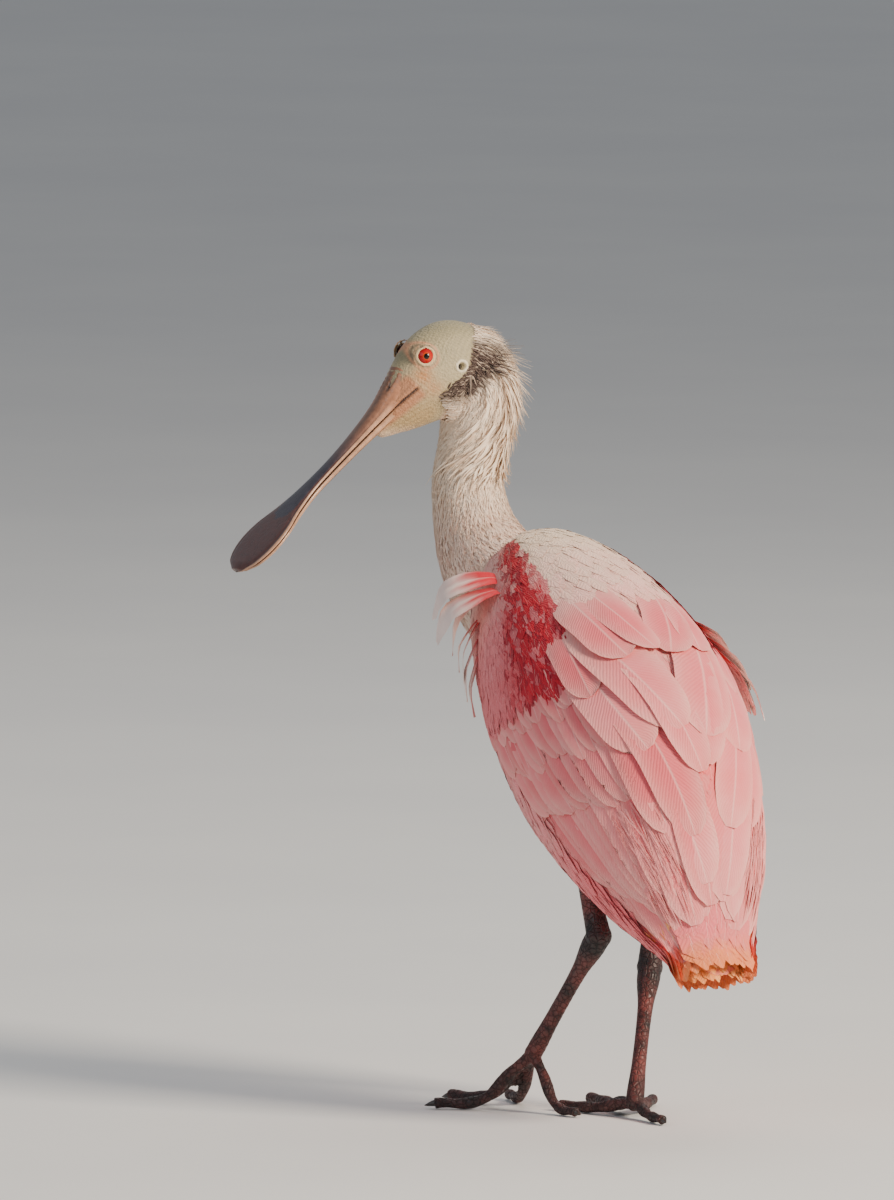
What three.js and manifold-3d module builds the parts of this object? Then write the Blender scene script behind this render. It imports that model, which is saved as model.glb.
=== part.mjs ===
// A roseate spoonbill at life size, wading forward with its head turned to its left: a still model.
// Millimetres. +X is the way the bird walks, +Y its left and +Z up, and its soles stand on z = 0.
// The body is an egg of plumage on a leaning axis. Folded wings of overlapping vanes lie on its sides,
// a short tail closes it, and a bent neck carries the bare head and the long spoon bill.
import * as THREE from "three";
import { mergeVertices } from "three/addons/utils/BufferGeometryUtils.js";
import Module from "manifold-3d";

const wasm = await Module();
wasm.setup();

// Driving dimensions, in millimetres and degrees
const GAP = 0.3; // between pieces that touch
const BILL_LENGTH = 160; // from the corner of the mouth
const BILL_PITCH = 41; // below the horizon
const SPOON_WIDTH = 44;
const EYE_RADIUS = 5.8;
const TOE_LENGTH = 76; // the middle toe with its claw
const VANE_THICK = 0.7;
const SMALL_FACE = 0.2; // faces that add less than this to a form are left out

const vec = (x, y, z) => new THREE.Vector3(x, y, z);
const rad = THREE.MathUtils.degToRad;
const lerp = THREE.MathUtils.lerp;
const mix = (a, b, t) => a.clone().lerp(b, t);

// The value at x of a smooth curve through a table's rows, each [x, value, value, ...].
function along(table, column, x) {
  const last = table.length - 1;
  let i = 0;
  while (i < last - 1 && x > table[i + 1][0]) i++;
  const slope = (k) => {
    const a = table[Math.max(k - 1, 0)];
    const b = table[Math.min(k + 1, last)];
    return (b[column] - a[column]) / (b[0] - a[0]);
  };
  const [p, q] = [table[i], table[i + 1]];
  const span = q[0] - p[0];
  const t = THREE.MathUtils.clamp((x - p[0]) / span, 0, 1);
  return (
    p[column] * (1 + 2 * t) * (1 - t) ** 2 +
    slope(i) * span * t * (1 - t) ** 2 +
    q[column] * t * t * (3 - 2 * t) +
    slope(i + 1) * span * t * t * (t - 1)
  );
}

// A closed geometry from points and triangles, as a solid with its faces pointing out.
function solidOf(points, triangles) {
  const vertProperties = new Float32Array(points.flatMap((p) => [p.x, p.y, p.z]));
  const made = new wasm.Manifold(
    new wasm.Mesh({ numProp: 3, vertProperties, triVerts: new Uint32Array(triangles.flat()) }),
  );
  return made.volume() > 0 ? made : solidOf(points, triangles.map(([a, b, c]) => [a, c, b]));
}

// A three.js geometry as a solid.
function solidOfGeometry(geometry, close = 1e-4) {
  const bare = geometry.clone();
  bare.deleteAttribute("normal");
  bare.deleteAttribute("uv");
  const merged = mergeVertices(bare, close);
  const place = merged.getAttribute("position");
  const points = [];
  for (let i = 0; i < place.count; i++) points.push(vec(place.getX(i), place.getY(i), place.getZ(i)));
  const triangles = [];
  for (let i = 0; i < merged.index.count; i += 3) {
    triangles.push([0, 1, 2].map((k) => merged.index.getX(i + k)));
  }
  return solidOf(points, triangles);
}

// A solid as a three.js geometry.
function geometryOf(solid) {
  const mesh = solid.getMesh();
  const place = new Float32Array(mesh.numVert * 3);
  for (let i = 0; i < mesh.numVert; i++) {
    place.set(mesh.vertProperties.subarray(i * mesh.numProp, i * mesh.numProp + 3), i * 3);
  }
  const geometry = new THREE.BufferGeometry();
  geometry.setAttribute("position", new THREE.BufferAttribute(place, 3));
  geometry.setIndex(new THREE.BufferAttribute(mesh.triVerts, 1));
  return geometry;
}

// Rings of equally many points, joined into one closed body with a point at each end.
function skinned(rings, first, last) {
  const sides = rings[0].length;
  const points = rings.flat();
  const triangles = [];
  for (let r = 0; r + 1 < rings.length; r++) {
    for (let k = 0; k < sides; k++) {
      const [a, b] = [r * sides + k, r * sides + ((k + 1) % sides)];
      triangles.push([a, b, a + sides], [b, b + sides, a + sides]);
    }
  }
  const [start, end] = [points.push(first) - 1, points.push(last) - 1];
  const top = (rings.length - 1) * sides;
  for (let k = 0; k < sides; k++) {
    const next = (k + 1) % sides;
    triangles.push([start, next, k], [end, top + k, top + next]);
  }
  return solidOf(points, triangles);
}

// One ring round a centre: half as wide as wide, up to the back side and down to the belly side.
function ring({ centre, side, up }, wide, back, belly, sides) {
  return Array.from({ length: sides }, (_, k) => {
    const turn = (2 * Math.PI * k) / sides;
    const rise = Math.cos(turn) * (Math.cos(turn) > 0 ? back : belly);
    return centre.clone().addScaledVector(side, Math.sin(turn) * wide).addScaledVector(up, rise);
  });
}

// A body lofted along a curve. Its rows are [place on the curve, half-width, to the back, to the belly].
// side(u) is the bird's own left at a place on the curve, and grow swells the body all round.
function tube(curve, rows, side, { sides = 16, rings = 16, grow = 0 } = {}) {
  const [low, high] = [rows[0][0], rows[rows.length - 1][0]];
  const frame = (u) => {
    const ahead = curve.getTangent(THREE.MathUtils.clamp(u, 0, 1));
    const left = side(u).clone();
    left.addScaledVector(ahead, -left.dot(ahead)).normalize();
    return { centre: curve.getPoint(THREE.MathUtils.clamp(u, 0, 1)), ahead, side: left, up: ahead.clone().cross(left) };
  };
  const made = [];
  for (let i = 0; i <= rings; i++) {
    const u = lerp(low, high, i / rings);
    const size = [1, 2, 3].map((column) => along(rows, column, u) + grow);
    made.push(ring(frame(u), ...size, sides));
  }
  const ends = [low, high].map((u, i) => {
    const { centre, ahead } = frame(u);
    return centre.addScaledVector(ahead, (i ? 1 : -1) * (grow + 0.25 * along(rows, 2, u)));
  });
  return skinned(made, ...ends);
}

const through = (...points) => new THREE.CatmullRomCurve3(points.map((p) => vec(...p)), false, "centripetal");
const LEFT = vec(0, 1, 0);
const whole = (solids) => wasm.Manifold.union(solids);

// The largest closed piece of a solid: loose scraps, sealed hollows and needless small faces go. It is
// sorted again while merging corners within a thousandth of a millimetre of each other still parts it.
function largest(solid) {
  const pieces = solid.decompose();
  const biggest = pieces.reduce((a, b) => (b.volume() > a.volume() ? b : a));
  const merged = solidOfGeometry(geometryOf(biggest.simplify(SMALL_FACE)), 1e-3);
  return merged.decompose().length > 1 ? largest(merged) : merged;
}

// A solid parted by a thin flat cut of limited width, as [the piece behind the cut, the piece ahead of it].
function parted(solid, place, normal, width) {
  const cut = new THREE.BoxGeometry(width, width, GAP);
  cut.applyQuaternion(new THREE.Quaternion().setFromUnitVectors(vec(0, 0, 1), normal.clone().normalize()));
  cut.translate(...place);
  const pieces = solid.subtract(solidOfGeometry(cut)).decompose();
  const big = pieces.sort((a, b) => b.volume() - a.volume()).slice(0, 2);
  const ahead = (piece) => {
    const { min, max } = piece.boundingBox();
    return vec((min[0] + max[0]) / 2, (min[1] + max[1]) / 2, (min[2] + max[2]) / 2).sub(place).dot(normal);
  };
  return big.sort((a, b) => ahead(a) - ahead(b));
}

// The plumage: an egg round an axis that runs from the breast, at 0, down and back to the tail, at 1
// Rows: place, axis x, axis z, half-width with the wings, half-width of the flesh, to the back, to the belly
const EGG = [
  [0.0, 92, 320, 20, 18, 18, 24],
  [0.1, 72, 310, 41, 30, 37, 48],
  [0.25, 32, 283, 59, 44, 57, 66],
  [0.4, -6, 251, 69, 50, 71, 74],
  [0.55, -44, 215, 71, 52, 78, 74],
  [0.7, -80, 179, 64, 46, 71, 62],
  [0.85, -113, 144, 50, 34, 49, 44],
  [0.94, -132, 122, 38, 25, 29, 27],
  [1.0, -145, 107, 28, 14, 14, 15],
];
const BACK_COVER = 5; // feathers over the flesh of the back

function axis(s) {
  const at = (place) => vec(along(EGG, 1, place), 0, along(EGG, 2, place));
  const near = THREE.MathUtils.clamp(s, 0.01, 0.99);
  const ahead = at(near - 0.01).sub(at(near + 0.01)).normalize();
  const beyond = Math.max(s - 1, 0) * 300; // millimetres past the end of the table
  return { centre: at(Math.min(s, 1)).addScaledVector(ahead, -beyond), ahead, up: ahead.clone().cross(LEFT) };
}

// A point of the plumage's outer surface, at f degrees from the middle of the back towards the left.
function plume(s, f, lift = 0) {
  const { centre, up } = axis(s);
  const [wide, back, belly] = [3, 5, 6].map((column) => along(EGG, column, Math.min(s, 1)) + lift);
  const [sin, cos] = [Math.sin(rad(f)), Math.cos(rad(f))];
  return centre.addScaledVector(LEFT, wide * sin).addScaledVector(up, (cos > 0 ? back : belly) * cos);
}

function outward(s, f) {
  const down = plume(s + 0.01, f).sub(plume(s - 0.01, f));
  const round = plume(s, f + 2).sub(plume(s, f - 2));
  return round.cross(down).normalize();
}

function torsoBody(grow) {
  const [from, to, rings] = [0.0, 0.93, 18];
  const made = [];
  for (let i = 0; i <= rings; i++) {
    const s = lerp(from, to, i / rings);
    const { centre, up } = axis(s);
    const shy = BACK_COVER * THREE.MathUtils.smoothstep(s, 0.2, 0.5);
    const size = [4, 5, 6].map((column) => along(EGG, column, s) + grow);
    made.push(ring({ centre, side: LEFT, up }, size[0], size[1] - shy, size[2], 28));
  }
  const [front, rear] = [axis(from), axis(to)];
  return skinned(
    made,
    front.centre.addScaledVector(front.ahead, 8 + grow),
    rear.centre.addScaledVector(rear.ahead, -4 - grow),
  );
}

const torso = torsoBody(0);
const torsoGrown = torsoBody(GAP);

// The neck rises from the breast in a lazy S and turns, so that the head looks to the bird's left
const NECK_PATH = through([40, 6, 286], [76, 17, 304], [101, 25, 333], [110, 28, 369], [108, 24.5, 396], [103, 26, 422], [102, 40, 440]);
const NECK_ROWS = [
  [0.0, 34, 40, 40],
  [0.22, 29, 33, 36],
  [0.4, 21.5, 24, 25],
  [0.55, 18.5, 19.5, 20],
  [0.72, 18, 20, 20],
  [0.88, 18.5, 22, 20],
  [1.0, 16, 18, 16],
];
const neckTurn = (u) => rad(90 * THREE.MathUtils.smoothstep(u, 0.35, 0.9));
const neckSide = (u) => vec(-Math.sin(neckTurn(u)), Math.cos(neckTurn(u)), 0);
const neckBody = (grow) => tube(NECK_PATH, NECK_ROWS, neckSide, { sides: 18, rings: 20, grow });

// The head: a low skull, deep cheeks and a bare throat pouch that hangs below the bill's root
const HEAD_LEFT = vec(-1, 0, 0);
const HEAD_PATH = through([102, 22, 439], [102, 38, 443], [102, 54, 440], [102, 68, 431], [102, 82, 417], [102, 95, 402]);
const HEAD_ROWS = [
  [0.0, 9, 12, 12],
  [0.12, 15, 20, 20],
  [0.3, 19, 25, 27],
  [0.5, 18, 22, 32],
  [0.68, 14.5, 15.5, 27],
  [0.84, 10, 9, 18],
  [1.0, 3.5, 3, 6],
];
const headBody = (grow) => tube(HEAD_PATH, HEAD_ROWS, () => HEAD_LEFT, { sides: 18, rings: 14, grow });

// The bill: two long mandibles from the face, narrow in the middle and spread into a spoon
const billAhead = vec(0, Math.cos(rad(BILL_PITCH)), -Math.sin(rad(BILL_PITCH)));
const billUp = billAhead.clone().cross(HEAD_LEFT);
const BILL_ROOT = vec(102, 70.6, 431.2); // the middle of the corner of the mouth
// Rows: share of the bill's length, half-width, height above the line of the mouth, bend of that line
const UPPER_ROWS = [
  [-0.1, 5, 5, 0],
  [-0.05, 9, 13, 0],
  [0.0, 12, 15, 0],
  [0.06, 11.2, 12, 0],
  [0.18, 9.3, 6.6, -0.6],
  [0.32, 7.2, 4.2, -1.2],
  [0.45, 6.2, 3.3, -1.6],
  [0.58, 8, 2.9, -1.6],
  [0.69, 13.2, 2.9, -1.9],
  [0.79, 20.6, 3, -2.2],
  [0.88, SPOON_WIDTH / 2, 2.9, -2.9],
  [0.96, 16.5, 2.5, -4],
  [1.0, 7, 1.5, -5.2],
];
const MOUTH = 0.6; // half of the slit between the mandibles
const LOWER_ROWS = [
  [-0.1, 5, 4, 0],
  [0.0, 10.4, 7, 0],
  [0.18, 8.6, 6, -0.6],
  [0.32, 6.7, 4.8, -1.2],
  [0.45, 5.8, 4.2, -1.6],
  [0.58, 7.4, 3.8, -1.6],
  [0.69, 12.4, 3.5, -1.9],
  [0.79, 19.4, 3.3, -2.2],
  [0.88, 20.8, 3.1, -2.9],
  [0.95, 16, 2.7, -3.8],
  [0.985, 7, 1.6, -4.8],
];
const MANDIBLE_RIDGE = { 1: 0.7, "-1": 0.45 }; // the lower one is the boxier

function mandible(rows, sign, grow) {
  const rings = 20;
  const half = 8; // points across, above and below
  const made = [];
  const mouth = (q) => BILL_ROOT.clone()
    .addScaledVector(billAhead, q * BILL_LENGTH)
    .addScaledVector(billUp, along(rows, 3, q) + sign * MOUTH);
  for (let i = 0; i <= rings; i++) {
    const q = lerp(rows[0][0], rows[rows.length - 1][0], i / rings);
    const [wide, high] = [along(rows, 1, q) + grow, along(rows, 2, q)];
    const outline = [];
    for (let k = 0; k < 2 * half; k++) {
      const turn = (Math.PI * k) / half;
      const lift = Math.sin(turn) > 0 ? high * Math.sin(turn) ** MANDIBLE_RIDGE[sign] + grow : -grow;
      outline.push(mouth(q).addScaledVector(HEAD_LEFT, Math.cos(turn) * wide).addScaledVector(billUp, sign * lift));
    }
    made.push(outline);
  }
  const ends = [rows[0][0], rows[rows.length - 1][0]].map((q, i) =>
    mouth(q).addScaledVector(billUp, sign * along(rows, 2, q) * 0.4).addScaledVector(billAhead, (i ? 1 : -1) * (1.5 + grow)),
  );
  return skinned(made, ...ends);
}

const upperBill = (grow) => mandible(UPPER_ROWS, 1, grow);
const lowerBill = (grow) => mandible(LOWER_ROWS, -1, grow);

// The eyes sit in ringed lids on the sides of the skull
const eyeCentre = (sign) => vec(102 - sign * 11.8, 68, 447.5);
const ball = (centre, radius, flat = 1) => {
  const round = new THREE.SphereGeometry(radius, 12, 9);
  round.scale(flat, 1, 1);
  round.translate(centre.x, centre.y, centre.z);
  return solidOfGeometry(round);
};
const eyeBody = (sign, grow) => ball(eyeCentre(sign), EYE_RADIUS + grow);

function lids(sign) {
  const rim = new THREE.TorusGeometry(5.2, 1.3, 6, 16);
  rim.rotateY(Math.PI / 2);
  rim.rotateZ(rad(sign * 14));
  const at = eyeCentre(sign);
  rim.translate(at.x - sign * 3.2, at.y + 0.4, at.z);
  return solidOfGeometry(rim);
}

function ear(sign) {
  const rim = new THREE.TorusGeometry(3.4, 1.1, 5, 10);
  rim.scale(1, 0.75, 1);
  rim.rotateZ(rad(35));
  rim.rotateY(Math.PI / 2);
  rim.translate(102 - sign * 18.6, 46, 441);
  return solidOfGeometry(rim);
}

let head = whole([headBody(0), lids(1), lids(-1), ear(1), ear(-1)]);
for (const sign of [1, -1]) {
  const pit = ball(vec(102 - sign * 20, 46, 441), 2.4);
  head = head.subtract(eyeBody(sign, GAP)).subtract(pit);
}
head = largest(head.subtract(upperBill(2 * GAP)).subtract(lowerBill(2 * GAP)));

const billUpper = largest(upperBill(0).subtract(eyeBody(1, GAP)).subtract(eyeBody(-1, GAP)));
const billLower = lowerBill(0);
const [neckLower, neckUpper] = parted(
  largest(neckBody(0).subtract(torsoGrown).subtract(headBody(GAP))),
  vec(109, 27.5, 362),
  vec(0.1, 0, 1),
  90,
);

// The shaggy nape: flat tapered locks that lift off the back of the upper neck
// Rows: place on the neck, degrees off the middle of the nape, length, how far the tip stands off
const NAPE_LOCKS = [
  [0.99, -16, 20, 0.95],
  [0.97, 18, 21, 0.85],
  [0.94, -46, 17, 0.6],
  [0.93, 2, 20, 0.8],
  [0.91, 44, 17, 0.6],
  [0.87, -22, 18, 0.55],
  [0.86, 24, 18, 0.55],
  [0.81, 0, 17, 0.5],
  [0.72, 6, 15, 0.42],
];

function napeLock([u, turn, length, off]) {
  const ahead = NECK_PATH.getTangent(u);
  const left = neckSide(u);
  left.addScaledVector(ahead, -left.dot(ahead)).normalize();
  const [sin, cos] = [Math.sin(rad(turn)), Math.cos(rad(turn))];
  const out = ahead.clone().cross(left).multiplyScalar(cos).addScaledVector(left, sin);
  const skin = [1, 2].map((column) => along(NECK_ROWS, column, u));
  const root = NECK_PATH.getPoint(u).addScaledVector(out, Math.hypot(skin[0] * sin, skin[1] * cos) - 3);
  const reach = (share, stand) => root.clone()
    .addScaledVector(out, 3 * share + length * stand)
    .addScaledVector(ahead, -length * share)
    .toArray();
  const path = through(root.toArray(), reach(0.35, off * 0.42), reach(0.75, off * 0.68), reach(1.05, off * 0.74));
  const side = () => out.clone().cross(ahead).normalize();
  return tube(path, [[0, 3.4, 1.1, 1.1], [0.5, 2.8, 0.8, 0.8], [1, 0.5, 0.3, 0.3]], side, { sides: 4, rings: 3 });
}

const neckShaggy = largest(whole([neckUpper, ...NAPE_LOCKS.map(napeLock)]).subtract(headBody(GAP)));

// The legs: a scaled shank down to the swollen hock, then the shin, and a foot of four long toes
const LEGS = {
  left: {
    thigh: [-18, 30, 205],
    hock: [-60, 30, 111],
    ankle: [-2, 43, 35],
    yaw: 18,
  },
  right: {
    thigh: [0, -44, 178],
    hock: [-8, -33, 83],
    ankle: [-57, 4, 9],
    yaw: -6,
  },
};
const SHANK_ROWS = [
  [0.0, 13, 14, 14],
  [0.3, 8, 8.5, 8.5],
  [0.62, 5.6, 6, 6],
  [0.86, 6.4, 7.4, 7],
  [1.0, 7.2, 8.6, 8],
];
const SHIN_ROWS = [
  [0.0, 7, 8, 8],
  [0.1, 6.8, 8, 7.6],
  [0.3, 4.6, 5.2, 5],
  [0.7, 4.3, 4.8, 4.6],
  [0.92, 5.4, 5, 5.2],
  [1.0, 5.6, 4.6, 5],
];

const straight = (a, b) => new THREE.LineCurve3(vec(...a), vec(...b));
const shankBody = (name, grow) =>
  tube(straight(LEGS[name].thigh, LEGS[name].hock), SHANK_ROWS, () => LEFT, { sides: 12, rings: 10, grow });
const shinBody = (name, grow) =>
  tube(straight(LEGS[name].hock, LEGS[name].ankle), SHIN_ROWS, () => LEFT, { sides: 12, rings: 12, grow });

// Toes: [yaw from the middle toe, share of the middle toe's length, half-width]
const TOES = { middle: [0, 1, 4.2], outer: [33, 0.87, 3.9], inner: [-31, 0.8, 3.8], hind: [176, 0.55, 3.4] };

function toe(ankle, heading, length, half) {
  const ahead = vec(Math.cos(heading), Math.sin(heading), 0);
  const at = (reach, height) => vec(ankle.x, ankle.y, 0).addScaledVector(ahead, reach * length).setZ(height);
  const high = ankle.z;
  const low = half * 0.86; // the pads press a little into the floor
  const path = new THREE.CatmullRomCurve3(
    [at(-0.02, high), at(0.2, Math.max(lerp(low, high, 0.62), low)), at(0.42, lerp(low, high, 0.14)), at(0.62, low), at(0.86, low), at(1, 1.6)],
    false,
    "centripetal",
  );
  const knuckle = (u) => half * (1 + 0.13 * Math.cos(2 * Math.PI * u * 3.5)) * (1 - 0.25 * u);
  const rows = [];
  for (let u = 0; u <= 0.84; u += 0.12) rows.push([u, knuckle(u), knuckle(u), knuckle(u)]);
  rows.push([0.87, 2.1, 2, 2], [0.93, 1.5, 1.5, 1.3], [1, 0.5, 0.5, 0.5]);
  const side = () => vec(-ahead.y, ahead.x, 0);
  return tube(path, rows, side, { sides: 6, rings: 8 });
}

function web(ankle, headings, lengths, half) {
  // Skin between the roots of two toes, as thick as a toe's edge
  const corner = (k, reach, height) => vec(
    ankle.x + Math.cos(headings[k]) * lengths[k] * reach,
    ankle.y + Math.sin(headings[k]) * lengths[k] * reach,
    height,
  );
  const high = ankle.z;
  const low = half * 0.8;
  const thick = 1.2;
  const outline = [
    corner(0, 0, lerp(low, high, 0.9)),
    corner(0, 0.3, lerp(low, high, 0.36)),
    mix(corner(0, 0.36, 0), corner(1, 0.36, 0), 0.5).setZ(lerp(low, high, 0.3)),
    corner(1, 0.3, lerp(low, high, 0.36)),
  ];
  const sheets = [thick / 2, -thick / 2].map((dz) => outline.map((p) => p.clone().add(vec(0, 0, dz))));
  const triangles = [[0, 1, 2], [0, 2, 3], [4, 6, 5], [4, 7, 6]];
  for (let k = 0; k < 4; k++) {
    const next = (k + 1) % 4;
    triangles.push([k, 4 + k, next], [next, 4 + k, 4 + next]);
  }
  return solidOf(sheets.flat(), triangles);
}

function leg(name, sign) {
  const { thigh, hock, ankle, yaw } = LEGS[name];
  const joint = vec(...hock);
  const foot = vec(...ankle);
  const limb = whole([shankBody(name, 0), shinBody(name, 0)]);
  const bend = vec(...thigh).sub(joint).normalize().add(foot.clone().sub(joint).normalize().negate());
  const [lower, upper] = parted(limb, joint, bend, 40);
  const headings = {};
  const pieces = [ball(foot.clone().setZ(Math.max(foot.z, 6)), 5.8)];
  for (const [toeName, [turn, share, half]] of Object.entries(TOES)) {
    headings[toeName] = rad(yaw + sign * turn);
    pieces.push(toe(foot, headings[toeName], share * TOE_LENGTH, half));
  }
  for (const other of ["outer", "inner"]) {
    pieces.push(web(
      foot,
      [headings.middle, headings[other]],
      [TOE_LENGTH, TOES[other][1] * TOE_LENGTH],
      TOES.middle[2],
    ));
  }
  const toes = whole(pieces).trimByPlane([0, 0, 1], 0);
  const down = foot.clone().sub(joint).normalize();
  const cut = foot.clone().addScaledVector(down, -9);
  const [shinPiece, shinEnd] = parted(lower, cut, down, 30);
  const [shinKept] = parted(shinBody(name, GAP), cut.clone().addScaledVector(down, GAP), down, 30);
  return {
    [`shank_${name}`]: largest(upper.subtract(torsoGrown)),
    [`shin_${name}`]: largest(shinPiece),
    [`foot_${name}`]: largest(whole([toes, shinEnd]).subtract(shinKept)),
  };
}

// A feather's vane: a thin curved blade that lies on the plumage from its root to its tip.
// from and to are [place along the egg, degrees from the back], and lift is the height at each end.
const VANE_PLACES = [0, 0.3, 0.72, 1];
const blade = (t) => (t < 0.66 ? Math.min(1, 0.5 + 1.3 * t) : Math.sqrt(Math.max(1 - ((t - 0.66) / 0.355) ** 2, 0)));

function vane({ from, to, half, lift, tilt = 0, bow = 0 }, grow = 0) {
  const at = (place) => [
    lerp(from[0], to[0], place),
    lerp(from[1], to[1], place) + bow * 4 * place * (1 - place),
  ];
  const rings = VANE_PLACES.map((t) => {
    const normal = outward(...at(t));
    const ahead = plume(...at(t + 0.02)).sub(plume(...at(t - 0.02))).normalize();
    const across = normal.clone().cross(ahead).normalize();
    const wide = half * blade(t) + grow;
    const slide = (2 * Math.round(t) - 1) * grow * 2; // a grown copy is longer as well
    const height = lerp(lift[0], lift[1], Math.min(1, t * 2.2) ** 0.7);
    const edge = (sign, face) => plume(...at(t))
      .addScaledVector(ahead, slide)
      .addScaledVector(normal, height + sign * tilt * wide + face * (VANE_THICK / 2 + grow))
      .addScaledVector(across, sign * wide);
    return [edge(-1, 1), edge(1, 1), edge(1, -1), edge(-1, -1)];
  });
  const middle = (points) => points.reduce((sum, p) => sum.add(p), vec(0, 0, 0)).divideScalar(points.length);
  return skinned(rings, middle(rings[0]), middle(rings[rings.length - 1]));
}

// Tiers of a folded wing, from the longest, which lie lowest, to the small ones of the bend
// count, roots [s, f first, f last], tips [s first, s last, f first, f last], half-width, lift, tilt
const TIERS = [
  { count: 4, root: [0.5, 104, 84], tip: [0.97, 1.02, 78, 44], half: 12, lift: [-12, -5] },
  { count: 4, root: [0.4, 102, 60], tip: [0.76, 0.95, 112, 50], half: 18, lift: [-13, -1.5] },
  { count: 3, root: [0.42, 44, 24], tip: [0.99, 0.94, 34, 14], half: 16.5, lift: [-12, 1.2] },
  { count: 4, root: [0.28, 104, 54], tip: [0.6, 0.7, 116, 50], half: 18, lift: [-13, 1.6] },
  { count: 4, root: [0.18, 100, 58], tip: [0.42, 0.52, 112, 58], half: 17, lift: [-14, 4] },
  { count: 3, root: [0.09, 100, 60], tip: [0.27, 0.36, 110, 60], half: 16, lift: [-14, 5.5] },
  { count: 3, root: [0.16, 46, 24], tip: [0.6, 0.76, 46, 20], half: 20, lift: [-15, 5] },
];

// The arm inside the wing: a lens that fills the space between the flesh and the roots of the vanes.
function arm() {
  const [s0, s1, f0, f1] = [0.04, 0.62, 14, 116];
  const [rows, columns] = [6, 5];
  const outer = [];
  const inner = [];
  for (let i = 0; i <= rows; i++) {
    for (let k = 0; k <= columns; k++) {
      const [p, q] = [i / rows, k / columns];
      const [s, f] = [lerp(s0, s1, p), lerp(f0, f1, q)];
      const full = Math.min(1, 2.6 * Math.sin(Math.PI * p)) * Math.min(1, 2.6 * Math.sin(Math.PI * q));
      const normal = outward(s, f);
      outer.push(plume(s, f).addScaledVector(normal, lerp(-13, -6, full)));
      inner.push(plume(s, f).addScaledVector(normal, -26));
    }
  }
  const width = columns + 1;
  const points = [...outer, ...inner];
  const under = outer.length;
  const triangles = [];
  for (let i = 0; i < rows; i++) {
    for (let k = 0; k < columns; k++) {
      const [a, b] = [i * width + k, i * width + k + 1];
      triangles.push([a, b, a + width], [b, b + width, a + width]);
      triangles.push([under + a, under + a + width, under + b], [under + b, under + a + width, under + b + width]);
    }
  }
  const rim = [];
  for (let k = 0; k < columns; k++) rim.push(k);
  for (let i = 0; i < rows; i++) rim.push(i * width + columns);
  for (let k = columns; k > 0; k--) rim.push(rows * width + k);
  for (let i = rows; i > 0; i--) rim.push(i * width);
  rim.forEach((a, i) => {
    const b = rim[(i + 1) % rim.length];
    triangles.push([a, under + a, b], [b, under + a, under + b]);
  });
  return solidOf(points, triangles);
}

// Feathers the wind has lifted: two broad ones off the left shoulder, a few off the right wing
const LEFT_TUFT = [
  { from: [0.14, 62], to: [0.19, 98], half: 9, lift: [-14, 22] },
  { from: [0.17, 60], to: [0.25, 96], half: 9, lift: [-14, 20] },
  { from: [0.2, 92], to: [0.32, 108], half: 5, lift: [-14, 12] },
];
const RIGHT_TUFT = [
  { from: [0.3, 58], to: [0.46, 66], half: 6, lift: [-14, 12] },
  { from: [0.34, 62], to: [0.5, 72], half: 6, lift: [-14, 13] },
];

function wing(sign, tuft) {
  const vanes = [arm()];
  for (const { count, root, tip, half, lift } of TIERS) {
    for (let i = 0; i < count; i++) {
      const t = count > 1 ? i / (count - 1) : 0;
      vanes.push(vane({
        from: [root[0], lerp(root[1], root[2], t)],
        to: [lerp(tip[0], tip[1], t), lerp(tip[2], tip[3], t)],
        half,
        lift,
        tilt: -0.1,
      }));
    }
  }
  vanes.push(...tuft.map((feather) => vane(feather)));
  const left = geometryOf(whole(vanes).trimByPlane([0, 1, 0], GAP / 2));
  left.scale(1, sign, 1); // the right wing is the left one mirrored
  const side = solidOfGeometry(left);
  const shank = shankBody(sign > 0 ? "left" : "right", GAP);
  return largest(side.subtract(torsoGrown).subtract(neckBody(GAP)).subtract(shank).subtract(tailBody(1.5 * GAP)));
}

// The tail: a short fan of broad vanes under the wing tips
function tailBody(grow) {
  const root = tube(
    new THREE.LineCurve3(axis(0.84).centre, axis(0.98).centre),
    [[0, 18, 20, 14], [0.6, 14, 15, 10], [1, 8, 8, 6]],
    () => LEFT,
    { sides: 12, rings: 4, grow },
  );
  const vanes = [root];
  const count = 8;
  for (let i = 0; i < count; i++) {
    const t = (i / (count - 1)) * 2 - 1;
    const f = t * 50;
    vanes.push(vane({
      from: [0.86, f * 0.6],
      to: [1.04 - 0.03 * Math.abs(t), f],
      half: 11,
      lift: [-24, -17 - 1.4 * (i % 2)],
      tilt: Math.sign(t) * -0.1,
    }, grow));
  }
  return whole(vanes);
}

const nodes = {
  torso,
  neck_lower: neckLower,
  neck_upper: neckShaggy,
  head,
  bill_upper: billUpper,
  bill_lower: billLower,
  eye_left: eyeBody(1, 0),
  eye_right: eyeBody(-1, 0),
  ...leg("left", 1),
  ...leg("right", -1),
  wing_left: wing(1, LEFT_TUFT),
  wing_right: wing(-1, RIGHT_TUFT),
  tail: largest(tailBody(0).subtract(torsoGrown)),
};

const COLOURS = {
  torso: 0xe7b5b4,
  neck: 0xe6d8cf,
  head: 0xb9b59b,
  bill: 0x8d7a6c,
  eye: 0xc0161a,
  shank: 0x4a2f30,
  shin: 0x3a2a2a,
  foot: 0x2c2324,
  wing: 0xe88d97,
  tail: 0xe79a5a,
};

const bird = new THREE.Group();
for (const [name, solid] of Object.entries(nodes)) {
  const geometry = geometryOf(solid);
  geometry.computeVertexNormals();
  const material = new THREE.MeshStandardMaterial({ color: COLOURS[name.split("_")[0]], roughness: 0.8 });
  const piece = new THREE.Mesh(geometry, material);
  piece.name = name;
  bird.add(piece);
}

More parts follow.
